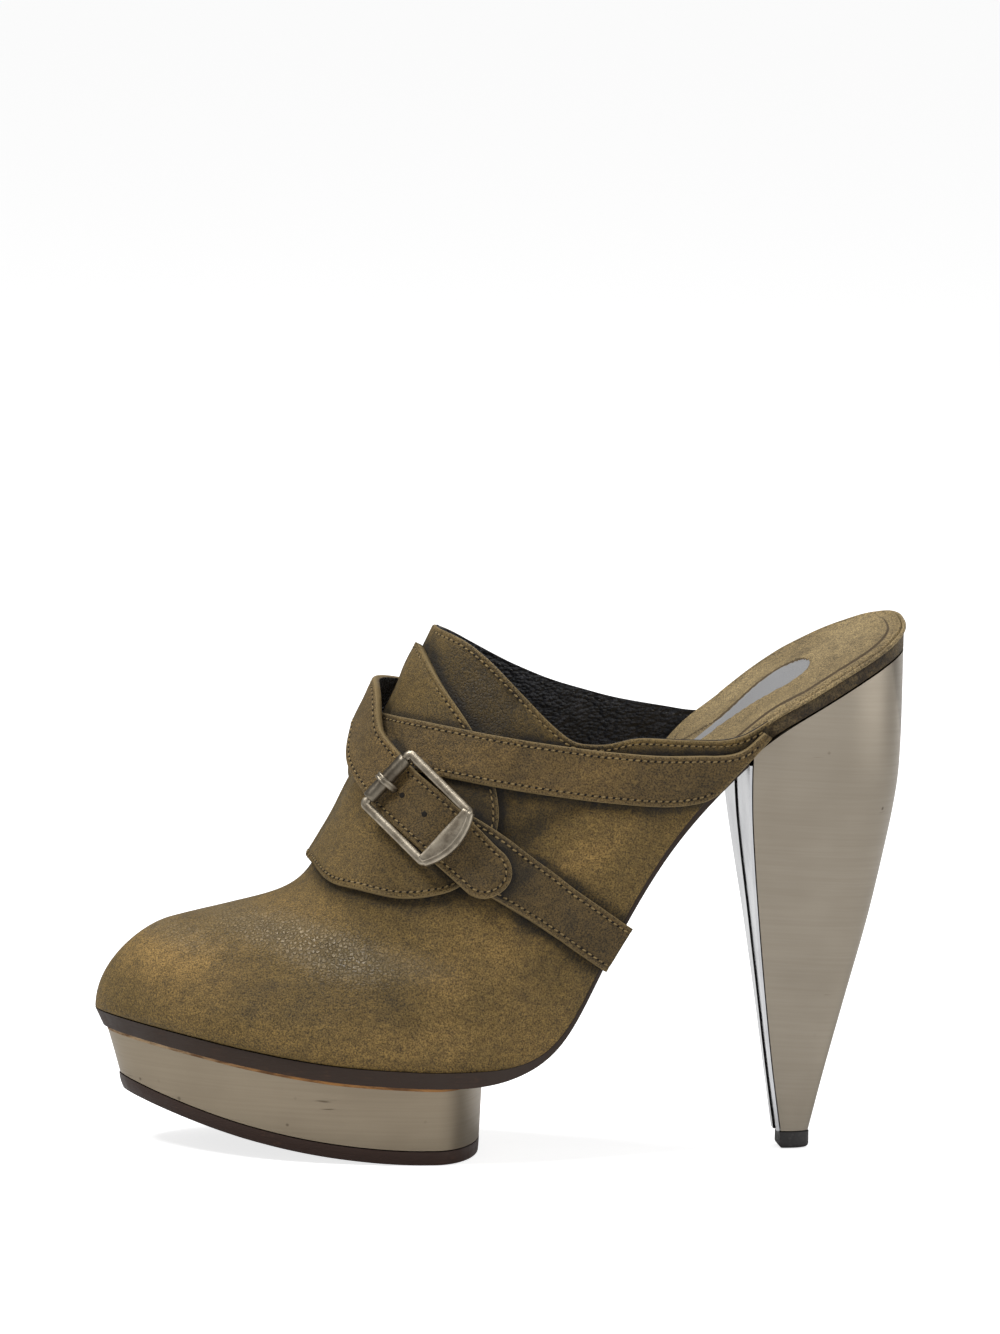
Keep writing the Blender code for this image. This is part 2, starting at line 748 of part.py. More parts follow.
class BuckleSpace:
    """Buckle's own axes: along the strap, across it and away from the foot."""

    def __init__(self):
        run, path, columns = strap_path(front_strap())
        centre = FRONT_CROSSING[5]
        self.run = nearest_run(run, path, last_point(centre.x, centre.z, OUTER)) + BUCKLE_AT
        ends = []
        for reach, clear in ((-BUCKLE_REACH, ROLLER_OUTER / 2), (BUCKLE_REACH, END_BAR / 2)):
            s = self.run + reach
            place, normal = onto_last(path(s))
            ends.append(place + normal * (columns["lift"](s) + STRAP_THICK + BUCKLE_CLEAR + clear))
        normal = onto_last(path(self.run))[1]
        straight = (ends[1] - ends[0]).normalized()
        level = straight.cross(normal.cross(straight)).normalized()
        self.up = Quaternion(straight, math.radians(BUCKLE_TILT)) @ level
        self.along = Quaternion(self.up, math.radians(BUCKLE_TURN)) @ straight
        self.across = self.up.cross(self.along)
        self.middle = (ends[0] + ends[1]) / 2 + self.across * BUCKLE_ACROSS
        self.reach = (ends[1] - ends[0]).length / 2
        slot = path(self.run - SLOT_BEHIND)
        self.slot_across = (slot - self.middle).dot(self.across)

    def place(self, along, across, up):
        return self.middle + self.along * along + self.across * across + self.up * up


def frame_outline(reach, half):
    """Middle line of the buckle's bars: square at the roller, bowed at the other end."""
    corner = 2.2
    cut = 0.65
    outline = [(-reach, -half + corner), (-reach + cut, -half + cut), (-reach + corner, -half)]
    outline += [(-reach / 5, -half), (reach / 2, -half), (reach - corner, -half), (reach - cut, -half + cut)]
    for j in range(-2, 3):
        c = j / 2 * (half - corner)
        outline.append((reach + END_BOW * (1 - (c / half) ** 2), c))
    outline += [(a, -c) for a, c in reversed(outline[:7])]
    return outline


def add_buckle(space):
    """Centre-bar buckle: one frame with its bar, a roller turning on one end, and the prong laid over it."""
    pewter = add_finish("antique pewter", (0.42, 0.40, 0.36), 0.35, 1.0)
    sides = 8
    half = BUCKLE_WIDTH / 2 - BAR / 2
    outline = frame_outline(space.reach, half)
    path = [space.place(a, c, 0.0) for a, c in outline]
    sizes = []
    for a, _ in outline:
        if a >= space.reach:
            sizes.append(END_BAR / 2)
        elif a <= -space.reach:
            sizes.append(ROLLER_PIN / 2)
        else:
            sizes.append(BAR / 2)
    points, faces = tube(path, sizes, sides, FRAME_FLATTEN, space.up, closed=True)
    frame = add_solid("buckle_frame", points, faces, pewter)

    drop = -CENTRE_BAR_DROP
    bends = [(-half + CENTRE_BAR_BEND, drop / 2), (-half + 2 * CENTRE_BAR_BEND, drop)]
    bar_line = [(-half, 0.0), *bends, (0.0, drop)]
    bar_line += [(-c, h) for c, h in reversed(bar_line[:3])]
    bar_path = [space.place(0.0, c, h) for c, h in bar_line]
    points, faces = tube(bar_path, CENTRE_BAR / 2, sides, 1.0, space.along)
    bar = add_solid("centre_bar_tool", points, faces, pewter)
    join = frame.modifiers.new("centre bar", "BOOLEAN")
    join.operation = "UNION"
    join.object = bar
    bar.hide_render = True
    bar.display_type = "WIRE"

    wall = Wall()
    turns = 12
    roller_half = half - BAR / 2 - ROLLER_PLAY
    grid = []
    for i in range(turns + 1):
        angle = 2 * math.pi * (i % turns) / turns
        row = []
        for c in (-roller_half, roller_half):
            spoke = [(math.cos(angle) * r, math.sin(angle) * r) for r in (ROLLER_OUTER / 2, ROLLER_BORE / 2)]
            row.append([space.place(-space.reach + a, c, h) for a, h in spoke])
        grid.append(row)
    wall.add_grid(grid)
    wall.solid("buckle_roller", pewter)

    over = ROLLER_OUTER / 2 + SEAM + PRONG / 2
    prong_line = [(row.along, drop + row.over_bar) for row in PRONG_RISE]
    for degrees in PRONG_CURL:
        angle = math.radians(degrees)
        prong_line.append((-space.reach + over * math.cos(angle), over * math.sin(angle)))
    prong_path = [space.place(a, space.slot_across, h) for a, h in prong_line]
    widths = [PRONG / 2] * (len(prong_path) - 1) + [PRONG / 3]
    points, faces = tube(prong_path, widths, 6, 1.0, space.across)
    add_solid("buckle_prong", points, faces, pewter)


def heel_point(angle, z):
    """Place on the side of the heel: angle 0 is the front corner, a quarter turn is the back."""
    power = heel["power"](z)
    front = heel["front"](z) + BREAST_THICK + SEAM
    depth = (heel["back"](z) - front) * math.sin(angle) ** (2 / power)
    half = heel["half"](z) * max(math.cos(angle), 0.0) ** (2 / power)
    return front + depth, half


def heel_top(x):
    return sole_z(x) - SEAM


def heel_column(angle, side, rows):
    """One upright line on the heel from its tip to the seat that slopes over it."""
    top = heel_top(BREAST_X)
    for _ in range(12):
        top = heel_top(heel_point(angle, top)[0])
    low = HEEL[0].z
    column = []
    for i in range(rows + 1):
        z = low + (top - low) * i / rows
        x, half = heel_point(angle, z)
        column.append(Vector((x, side * half, z)))
    return column


def add_heel():
    """Horn-shaped solid: flat in front where the polished plate lies, rounded behind."""
    rows = 14
    turns = 9
    metal = add_finish("brushed heel metal", (0.42, 0.38, 0.34), 0.35, 0.9)
    angles = [math.pi / 2 * i / turns for i in range(turns + 1)]
    columns = [heel_column(angle, OUTER, rows) for angle in angles]
    columns += [heel_column(angle, INNER, rows) for angle in reversed(angles[:-1])]
    front = heel_column(0.0, OUTER, rows)
    across = 3
    for j in range(1, across):
        columns.append([Vector((p.x, -p.y * (1 - 2 * j / across), p.z)) for p in front])
    rings = [[column[i] for column in columns] for i in range(rows + 1)]
    rim = rings[-1]
    for share in (0.66, 0.33):
        ring = []
        for place in rim:
            x = HEEL_MIDDLE_X + (place.x - HEEL_MIDDLE_X) * share
            ring.append(Vector((x, place.y * share, heel_top(x))))
        rings.append(ring)
    points = [place for ring in rings for place in ring]
    count = len(columns)
    faces = []
    for i in range(len(rings) - 1):
        for j in range(count):
            m = (j + 1) % count
            faces.append([i * count + j, i * count + m, (i + 1) * count + m, (i + 1) * count + j])
    faces.append(list(reversed(range(count))))
    points.append(Vector((HEEL_MIDDLE_X, 0.0, heel_top(HEEL_MIDDLE_X))))
    last_ring = (len(rings) - 1) * count
    faces += [[last_ring + j, last_ring + (j + 1) % count, len(points) - 1] for j in range(count)]
    add_solid("heel", points, faces, metal)


def add_heel_breast():
    """Polished plate on the front of the heel, creased along its middle."""
    rows = 12
    polish = add_finish("polished plate", (0.75, 0.75, 0.76), 0.08, 1.0)
    low = HEEL[0].z
    high = welt_under(BREAST_X - SEAM) - SEAM
    wall = Wall()
    grid = []
    for i in range(rows + 1):
        z = low + (high - low) * i / rows
        half = heel["half"](z) - BREAST_INSET
        front = heel["front"](z)
        row = []
        for k in (-1.0, -0.5, 0.0, 0.5, 1.0):
            groove = BREAST_GROOVE if k == 0.0 else 0.0
            row.append((Vector((front + groove, k * half, z)), Vector((front + BREAST_THICK, k * half, z))))
        grid.append(row)
    wall.add_grid(grid)
    wall.solid("heel_breast", polish)


def add_heel_tip():
    """Rubber top piece under the heel, flat on the floor."""
    turns = 6
    rubber = add_finish("black rubber", (0.012, 0.012, 0.013), 0.5)
    base = HEEL[0]
    front = base.front + BREAST_THICK
    outline = []
    for side in (OUTER, INNER):
        half_outline = []
        for i in range(turns + 1):
            angle = math.pi / 2 * i / turns
            x = front + (base.back + TIP_GROW - front) * math.sin(angle) ** (2 / base.power)
            y = side * (base.half + TIP_GROW) * max(math.cos(angle), 0.0) ** (2 / base.power)
            half_outline.append((x, y))
        outline += half_outline if side == OUTER else half_outline[-2::-1]
    count = len(outline)
    points = [Vector((x, y, TIP_HEIGHT)) for x, y in outline]
    middle = (front + base.back) / 2
    points += [Vector((middle + (x - middle) * TIP_DRAFT, y * TIP_DRAFT, 0.0)) for x, y in outline]
    faces = [list(range(count)), [count + j for j in reversed(range(count))]]
    for j in range(count):
        m = (j + 1) % count
        faces.append([j, count + j, count + m, m])
    add_solid("heel_tip", points, faces, rubber)


clear_scene()
add_forefoot_block()
add_welt_sole()
add_insole()
add_upper()
add_kiltie()
buckle = BuckleSpace()
add_straps(buckle.run)
add_buckle(buckle)
add_heel()
add_heel_breast()
add_heel_tip()
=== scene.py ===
"""Looks of the left platform mule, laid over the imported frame.

Tables are in millimetres and meshes in metres, in the frame of the solids: toe to -X, heel to +X,
outer side of the foot at -Y, floor at Z = 0.
"""

import math

import bmesh
import bpy
import numpy as np
from mathutils import Matrix, Vector


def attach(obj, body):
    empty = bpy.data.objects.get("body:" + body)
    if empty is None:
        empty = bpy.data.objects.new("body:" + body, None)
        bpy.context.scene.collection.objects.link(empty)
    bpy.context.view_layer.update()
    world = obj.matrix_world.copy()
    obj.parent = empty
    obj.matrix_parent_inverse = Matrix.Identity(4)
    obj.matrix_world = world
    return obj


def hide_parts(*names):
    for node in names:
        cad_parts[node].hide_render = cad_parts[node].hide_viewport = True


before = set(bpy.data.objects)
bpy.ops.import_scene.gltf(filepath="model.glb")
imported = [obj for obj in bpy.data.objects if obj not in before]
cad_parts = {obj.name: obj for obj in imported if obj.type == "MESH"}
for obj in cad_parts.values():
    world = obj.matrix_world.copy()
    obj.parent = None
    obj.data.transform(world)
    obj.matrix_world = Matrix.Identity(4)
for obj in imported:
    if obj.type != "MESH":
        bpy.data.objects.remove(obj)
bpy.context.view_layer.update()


# Upper: one hide of waxed olive nubuck, cut in one piece and drawn wet over the last, closed from the toe to
# the throat and open behind it in two low wings. Its collar is stitched two millimetres from the cut edge,
# and its lower edge is lasted in between the welt and the footbed.
MM = 0.001
OUTER, INNER = -1, 1
TOE_X, THROAT_X, BREAST_X, WING_END_X, HEEL_X = -105.6, -19.0, 62.0, 66.5, 105.0
TOE_ROUND, TOE_RISE, TOE_RISE_POWER, SEAT_POWER, SWELL_AT = 34.0, 20.0, 2.1, 2.6, 0.2

# x, sole, ridge, middle line, outer and inner half width, bulge over the sole edge, fullness to the ridge
LAST_COLUMNS = ("sole", "ridge", "mid", "outer", "inner", "swell", "crown")
LAST = [
    (-105.6, 35.0, 54.0, 6.0, 22.0, 20.0, 0.09, 2.6), (-95, 33.4, 56.6, 5.5, 26.0, 24.0, 0.09, 2.5),
    (-82, 31.4, 60.2, 5.0, 31.5, 28.5, 0.09, 2.3), (-69, 29.2, 63.6, 4.0, 36.5, 33.0, 0.08, 2.1),
    (-56, 27.3, 67.6, 3.0, 40.5, 36.0, 0.08, 1.8), (-50, 26.6, 71.8, 3.0, 42.0, 37.0, 0.07, 1.6),
    (-43, 25.9, 86.2, 3.0, 43.3, 37.5, 0.07, 1.35), (-30, 25.3, 112.0, 2.5, 44.5, 37.0, 0.06, 1.1),
    (-19, 24.9, 137.5, 2.0, 43.6, 35.4, 0.06, 1.0), (-4, 25.3, 162.0, 2.0, 41.0, 32.0, 0.06, 1.0),
    (4, 26.7, 180.0, 2.0, 38.0, 29.5, 0.06, 1.0), (11, 30.5, 196.0, 2.0, 35.5, 28.0, 0.05, 1.05),
    (17, 38.0, 210.0, 1.5, 33.0, 27.0, 0.05, 1.1), (22, 48.0, 222.0, 1.5, 31.5, 26.5, 0.05, 1.2),
    (31, 66.0, 240.0, 1.0, 29.5, 26.0, 0.04, 1.3), (42, 84.0, 262.0, 0.5, 27.8, 25.8, 0.03, 1.5),
    (54, 98.5, 284.0, 0.0, 27.0, 26.0, 0.02, 1.6), (68, 111.7, 308.0, 0.0, 27.0, 26.5, 0.02, 1.8),
    (84, 121.7, 338.0, 0.0, 27.0, 27.0, 0.02, 2.0), (105, 134.0, 382.0, 0.0, 27.0, 27.0, 0.02, 2.0),
]
# x, top of the collar on the outer and on the inner side
COLLAR = [
    (-19, 137.5, 137.5), (-13, 135.4, 134.8), (-8, 132.0, 132.0), (2, 122.3, 126.6), (12, 112.6, 122.2),
    (17, 109.5, 120.4), (23, 109.4, 118.6), (33, 111.4, 116.0), (46, 110.9, 113.8), (54, 110.8, 112.7),
    (60, 112.1, 113.0), (66.5, 116.0, 116.0),
]
LEATHER = 1.1
SEAM_IN = 1.5
STITCH_PITCH = 1.85
# depth and half width of the trough along a seam, then height and place of the full edge outside it
SEAM_DEEP, SEAM_WIDE, EDGE_FULL, EDGE_FULL_AT = 0.16, 0.4, 0.08, 0.75
LAST_EASE, COLLAR_EASE = 2.5, 1.6
UPPER_RIPPLE, UPPER_RIPPLE_LONG, UPPER_RIPPLE_Z, UPPER_FOOT_ROUND = 0.12, 26, (2, 12), 0.4
# rows of points along the vamp, along each wing and up each side
UPPER_MESH = (112, 104, 58)
SEAM_SHORT, SEAM_DOWN = 1.2, 9


def curve_through(keys, values):
    """Smooth curve through a table that never swings past its points."""
    keys, values = np.asarray(keys, float), np.asarray(values, float)
    gaps = np.diff(keys)
    rates = np.diff(values) / gaps
    slopes = np.zeros(len(keys))
    slopes[0], slopes[-1] = rates[0], rates[-1]
    for i in range(1, len(gaps)):
        if rates[i - 1] * rates[i] > 0:
            near = (2 * gaps[i] + gaps[i - 1]) / rates[i - 1]
            far = (gaps[i] + 2 * gaps[i - 1]) / rates[i]
            slopes[i] = 3 * (gaps[i - 1] + gaps[i]) / (near + far)

    def value(x):
        x = np.clip(x, keys[0], keys[-1])
        i = np.clip(np.searchsorted(keys, x, side="right") - 1, 0, len(gaps) - 1)
        t = (x - keys[i]) / gaps[i]
        u = 1 - t
        from_left = values[i] * (1 + 2 * t) * u * u + gaps[i] * slopes[i] * t * u * u
        return from_left + values[i + 1] * t * t * (3 - 2 * t) - gaps[i] * slopes[i + 1] * t * t * u

    return value


def relaxed(curve, start, end, spread):
    """The same curve with its kinks drawn out, as leather on a last draws them out."""
    count = int(round(end - start)) + 1
    places = np.linspace(start, end, count)
    step = places[1] - places[0]
    reach = min(int(4 * spread / step), count - 1)
    weights = np.exp(-0.5 * (np.arange(-reach, reach + 1) * step / spread) ** 2)
    values = curve(places)
    before = 2 * values[0] - values[reach:0:-1]
    after = 2 * values[-1] - values[-2:-reach - 2:-1]
    drawn = np.convolve(np.concatenate([before, values, after]), weights / weights.sum(), mode="valid")
    return curve_through(places, drawn)


def table_curves(rows, spread):
    """One drawn-out curve for each later column of a table, over its first column."""
    table = np.array(rows, float)
    keys = table[:, 0]
    return [relaxed(curve_through(keys, column), keys[0], keys[-1], spread) for column in table.T[1:]]


last = dict(zip(LAST_COLUMNS, table_curves(LAST, LAST_EASE)))
collar = dict(zip((OUTER, INNER), table_curves(COLLAR, COLLAR_EASE)))


def rounded(distance, length, power=2.0):
    """Grows from 0 to 1 over a length, as the rounded end of an outline does."""
    t = np.clip(distance / length, 0.0, 1.0)
    return (1 - (1 - t) ** power) ** (1 / power)


def eased(x, start, end):
    t = np.clip((x - start) / (end - start), 0.0, 1.0)
    return t * t * (3 - 2 * t)


def sole_z(x):
    return last["sole"](x)


def ridge_z(x):
    return sole_z(x) + (last["ridge"](x) - sole_z(x)) * rounded(x - TOE_X, TOE_RISE, TOE_RISE_POWER)


def sole_half(x, side):
    half = np.where(np.asarray(side) < 0, last["outer"](x), last["inner"](x)) * rounded(x - TOE_X, TOE_ROUND)
    return half * np.where(x > BREAST_X, rounded(HEEL_X - x, HEEL_X - BREAST_X, SEAT_POWER), 1.0)


def squared_breadth(x, z, side):
    foot = sole_z(x)
    rise = np.maximum((z - foot) / np.maximum(ridge_z(x) - foot, 1e-6), 0.0)
    swell = 1 + last["swell"](x) * rise / SWELL_AT * np.exp(1 - rise / SWELL_AT)
    return (sole_half(x, side) * swell) ** 2 * (1 - rise ** last["crown"](x))


def last_point(x, z, side):
    half = np.sqrt(np.maximum(squared_breadth(x, z, side), 0.0))
    return np.stack(np.broadcast_arrays(x, last["mid"](x) + side * half, z), -1)


def outside_by(place):
    """Positive outside the last, negative inside it and zero on its surface."""
    offset = place[..., 1] - last["mid"](place[..., 0])
    return offset ** 2 - squared_breadth(place[..., 0], place[..., 2], np.where(offset < 0, OUTER, INNER))


def steepest(place, step=0.05):
    shifts = np.eye(3) * step
    return np.stack([(outside_by(place + s) - outside_by(place - s)) / (2 * step) for s in shifts], -1)


def unit(vectors):
    return vectors / np.maximum(np.linalg.norm(vectors, axis=-1, keepdims=True), 1e-12)


def outward(place):
    """Outward direction on the last, read just behind the toe's tip where the tip itself has none."""
    held = np.array(place)
    held[..., 0] = np.maximum(held[..., 0], TOE_X + 0.3)
    return unit(steepest(held))


def onto_last(place):
    """Nearest place on the last, with its outward direction."""
    place = np.array(place)
    for _ in range(8):
        slope = steepest(place)
        place -= slope * (outside_by(place) / np.maximum((slope ** 2).sum(-1), 1e-9))[..., None]
    return place, outward(place)


def start_spaced(start, end, count, rush=3.0):
    """Places from start to end, closer together where an outline turns round its start."""
    t = np.linspace(0, 1, count + 1)
    return start + (end - start) * (np.sqrt(1 + (rush * t) ** 2) - 1) / (math.sqrt(1 + rush ** 2) - 1)


def to_line(places, line):
    """Distance from each place to the nearest point of a finely drawn line."""
    flat = places.reshape(-1, 3)
    found = [np.linalg.norm(part[:, None] - line, axis=-1).min(1) for part in np.array_split(flat, 60)]
    return np.concatenate(found).reshape(places.shape[:-1])


def rolled_edge(edge, radius=0.45):
    """How far the grain side drops where a cut edge is rubbed round."""
    near = np.clip(edge, 0, radius)
    return radius - np.sqrt(radius ** 2 - (radius - near) ** 2)


def sewn_relief(edge):
    """Relief of a stitched edge: rubbed round, full at the very edge and drawn in along the seam."""
    groove = SEAM_DEEP * np.exp(-((edge - SEAM_IN) / SEAM_WIDE) ** 2)
    return EDGE_FULL * np.exp(-((edge - EDGE_FULL_AT) / SEAM_WIDE) ** 2) - groove - rolled_edge(edge)


def ripple(places, length, seed, waves=7):
    """Soft unevenness of hand-drawn leather, about one up and down, repeated over a length."""
    draw = np.random.default_rng(seed)
    total = np.zeros(places.shape[:-1])
    for _ in range(waves):
        direction = unit(draw.normal(size=3)) * 2 * math.pi / (length * draw.uniform(0.7, 1.5))
        total += np.sin(places @ direction + draw.uniform(0, 2 * math.pi))
    return total / math.sqrt(waves)


def blots(x, z, table):
    """Sum of soft oval patches: x, z, half length, half height, turn in degrees, strength."""
    total = np.zeros(np.broadcast(x, z).shape)
    for at_x, at_z, long, high, turn, strength in table:
        c, s = math.cos(math.radians(turn)), math.sin(math.radians(turn))
        along = ((x - at_x) * c + (z - at_z) * s) / long
        across = ((z - at_z) * c - (x - at_x) * s) / high
        total += strength * np.exp(-along ** 2 - across ** 2)
    return total


def grid_faces(rows, columns, start=0):
    i, j = np.meshgrid(np.arange(rows - 1), np.arange(columns - 1), indexing="ij")
    a = (start + i * columns + j).ravel()
    return np.stack([a, a + columns, a + columns + 1, a + 1], -1)


def welded(places, faces, gap=0.002):
    """Indices of the points that are kept and the faces on them, once points that coincide are joined."""
    keys = np.round(places / gap).astype(np.int64)
    _, kept, joined = np.unique(keys, axis=0, return_index=True, return_inverse=True)
    cells = [list(dict.fromkeys(face)) for face in joined.reshape(-1)[faces].tolist()]
    return kept, [cell for cell in cells if len(cell) > 2]


def add_piece(name, places, faces, finishes, marks=None, finish_of_face=None, sharp=None):
    """Closed mesh piece from points in millimetres, with its marks as point attributes."""
    mesh = bpy.data.meshes.new(name)
    mesh.from_pydata((np.asarray(places) * MM).tolist(), [], [list(face) for face in faces])
    for mark, values in (marks or {}).items():
        held = mesh.attributes.new(mark, "FLOAT", "POINT")
        held.data.foreach_set("value", np.asarray(values, np.float32).ravel())
    for finish in finishes:
        mesh.materials.append(finish)
    if finish_of_face is not None:
        mesh.polygons.foreach_set("material_index", finish_of_face)
    shape = bmesh.new()
    shape.from_mesh(mesh)
    bmesh.ops.recalc_face_normals(shape, faces=shape.faces)
    shape.to_mesh(mesh)
    shape.free()
    mesh.shade_smooth()
    if sharp:
        mesh.set_sharp_from_angle(angle=math.radians(sharp))
    piece = bpy.data.objects.new(name, mesh)
    bpy.context.scene.collection.objects.link(piece)
    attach(piece, "root")
    return piece


def sheet_piece(name, grain, flesh, cells, finishes, marks=None, sharp=None):
    """Closed sheet from its grain side and its flesh side; a second finish, if any, is on the flesh."""
    count = len(grain)
    edges = {(a, b) for cell in cells for a, b in zip(cell, cell[1:] + cell[:1])}
    rim = [[b, a, a + count, b + count] for a, b in edges if (b, a) not in edges]
    back = [[count + corner for corner in reversed(cell)] for cell in cells]
    finish_of_face = [0] * (len(cells) + len(rim)) + [len(finishes) - 1] * len(back)
    both = {mark: np.tile(values, 2) for mark, values in (marks or {}).items()}
    skin = np.concatenate([grain, flesh])
    return add_piece(name, skin, cells + rim + back, finishes, both, finish_of_face, sharp)


def colour(red, green, blue):
    """Linear colour from the 0 to 255 values that a paint card gives."""
    card = np.array([red, green, blue]) / 255
    linear = np.where(card <= 0.04045, card / 12.92, ((card + 0.055) / 1.055) ** 2.4)
    return (*linear.tolist(), 1.0)


class Flow:
    """Output of a node, so that sums of outputs read as sums; plain numbers stay on the sockets they feed."""

    def __init__(self, socket):
        self.socket = socket
        self.tree = socket.id_data

    def sum(self, operation, *terms):
        node = self.tree.nodes.new("ShaderNodeMath")
        node.operation = operation
        for socket, term in zip(node.inputs, (self, *terms)):
            join(term, socket)
        return Flow(node.outputs[0])

    def __add__(self, other):
        return self.sum("ADD", other)

    def __sub__(self, other):
        return self.sum("SUBTRACT", other)

    def __mul__(self, other):
        return self.sum("MULTIPLY", other)

    def step(self, low, high, start=0.0, end=1.0):
        """Soft step from start to end as this value goes from low to high."""
        limits = {"From_Min": low, "From_Max": high, "To_Min": start, "To_Max": end}
        soft = {"interpolation_type": "SMOOTHSTEP"}
        return put(self.tree, "ShaderNodeMapRange", soft, Value=self, **limits)

    def blend(self, kind, share, first, second):
        node = self.tree.nodes.new("ShaderNodeMix")
        node.data_type, node.blend_type = "RGBA", kind
        for index, term in ((0, share), (6, first), (7, second)):
            join(term, node.inputs[index])
        return Flow(node.outputs[2])

    def mix(self, first, second):
        """Colour between two colours, by this share."""
        return self.blend("MIX", self, first, second)

    def tinted(self, tint):
        return self.blend("MULTIPLY", 1.0, self, tint)

    def cloud(self, scale, detail=3.0, roughness=0.55):
        """Noise from 0 to 1 in this space, with features of about one over its scale, in metres."""
        inputs = {"Vector": self, "Scale": scale, "Detail": detail, "Roughness": roughness}
        return put(self.tree, "ShaderNodeTexNoise", None, "Fac", **inputs)

    def cells(self, feature, scale):
        settings = {"feature": feature}
        return put(self.tree, "ShaderNodeTexVoronoi", settings, "Distance", Vector=self, Scale=scale)

    def stretched(self, scale, turn=(0.0, 0.0, 0.0)):
        return put(self.tree, "ShaderNodeMapping", Vector=self, Rotation=turn, Scale=scale)


def join(value, socket):
    """Link from a node's output to a socket, or a plain value set on it."""
    if isinstance(value, Flow):
        socket.id_data.links.new(value.socket, socket)
    else:
        socket.default_value = value


def put(tree, kind, settings=None, output=0, **inputs):
    """Output of a new node with its settings, its inputs set to values or joined to other outputs."""
    node = tree.nodes.new(kind)
    for key, value in (settings or {}).items():
        setattr(node, key, value)
    for key, value in inputs.items():
        join(value, node.inputs[key.replace("_", " ")])
    return Flow(node.outputs[output])


def given_by(tree):
    return {socket.name: Flow(socket) for socket in tree.nodes.new("NodeGroupInput").outputs if socket.name}


def new_group(name, inputs):
    """Shader group that gives colour, roughness and height; returns it, what it is given and its outputs."""
    tree = bpy.data.node_groups.new(name, "ShaderNodeTree")
    for label, value in inputs.items():
        kind = "NodeSocketColor" if isinstance(value, tuple) else "NodeSocketFloat"
        tree.interface.new_socket(label, in_out="INPUT", socket_type=kind).default_value = value
    for label, kind in (("Color", "Color"), ("Roughness", "Float"), ("Height", "Float")):
        tree.interface.new_socket(label, in_out="OUTPUT", socket_type="NodeSocket" + kind)
    return tree, given_by(tree), tree.nodes.new("NodeGroupOutput").inputs


def object_space(tree):
    return put(tree, "ShaderNodeTexCoord", None, "Object")


UNSET = (0, 0, 0, 1)


def waxed_nubuck_group():
    """Brushed, waxed hide: cloudy colour, short nap, rubbed and raw edges, smooth polished patches with a
    painted highlight, and painted shadow where the deep mark runs high.
    """
    tones = {"Ground": UNSET, "Gold tone": UNSET, "Deep tone": UNSET, "Raw tone": UNSET}
    marks = {"Gold": 0.0, "Deep": 0.0, "Polish": 0.0, "Edge": 9.0}
    tree, given, out = new_group("waxed nubuck", {**tones, **marks})
    space = object_space(tree)
    broad, mottle = space.cloud(34, 2.0), space.cloud(170, 3.0, 0.6)
    brush = space.stretched((0.45, 0.7, 1.0), (0.0, 0.5, 0.0)).cloud(560, 3.0, 0.6)
    speck, nap = space.cloud(2300, 2.0, 0.6), space.cloud(3800, 2.0, 0.6)
    pebble = space.cells("DISTANCE_TO_EDGE", 900).step(0.0, 0.25)
    polish, edge = given["Polish"], given["Edge"]

    gold = (given["Gold"] + broad.step(0.4, 0.7, -0.12, 0.25)) * mottle.step(0.3, 0.62, 0.75, 1.1)
    deep = given["Deep"] + broad.step(0.5, 0.3, 0.0, 0.2) + mottle.step(0.46, 0.3, -0.04, 0.2)
    deep = deep * mottle.step(0.3, 0.62, 1.1, 0.75)
    tone = deep.mix(gold.mix(given["Ground"], given["Gold tone"]), given["Deep tone"])
    # Painted shadow: where the deep mark runs past 0.9, mostly along the edges of pieces lying on top, the
    # colour goes on towards near black.
    painted_shadow = deep.step(0.9, 2.2, 0.0, 0.85)
    tone = painted_shadow.mix(tone, colour(18, 13, 7))
    grain = speck * 0.72 + nap * 0.28
    fleck = grain.step(0.33, 0.67, polish.step(0.1, 0.9, 0.34, 0.62), polish.step(0.1, 0.9, 1.7, 1.4))
    tone = tone.tinted(fleck * brush.step(0.3, 0.7, 0.85, 1.15))
    # Painted highlight over the polished patches: a pale haze, and pale glints on the raised grain, in place
    # of their gloss.
    haze = polish.step(0.15, 1.0, 0.0, 0.22)
    painted_glint = (grain.step(0.5, 0.68) * polish.step(0.3, 1.0, 0.0, 0.62)).sum("MAXIMUM", haze)
    tone = painted_glint.mix(tone, colour(178, 166, 142))
    raw = edge.step(0.3, 0.1, 0.0, 0.8)
    rubbed = (edge.step(1.0, 0.3, 0.0, 0.4) * speck.step(0.35, 0.6)).sum("MAXIMUM", raw)
    join(rubbed.mix(tone, given["Raw tone"]), out["Color"])
    join(mottle.step(0.3, 0.7, 0.58, 0.68) + speck * 0.1 - polish * 0.38, out["Roughness"])
    high = (speck + nap * 0.6) * polish.step(0.15, 0.7, 1.0, 0.4) + pebble * (polish * 2.2)
    join(high, out["Height"])
    return tree


waxed_nubuck = waxed_nubuck_group()


def marked(tree, mark):
    return put(tree, "ShaderNodeAttribute", {"attribute_name": mark}, "Fac")


def feed(shader, **inputs):
    """Constants set on a shader's sockets, and outputs joined to them."""
    for label, value in inputs.items():
        join(value, shader.inputs[label.replace("_", " ")])


def new_finish(name, **inputs):
    """Material with its shader, ready for the nodes that feed it."""
    finish = bpy.data.materials.new(name)
    finish.use_nodes = True
    shader = finish.node_tree.nodes["Principled BSDF"]
    feed(shader, **inputs)
    return finish, shader


def bumped(shader, height, distance, strength=1.0):
    inputs = {"Height": height, "Distance": distance, "Strength": strength}
    feed(shader, Normal=put(shader.id_data, "ShaderNodeBump", **inputs))


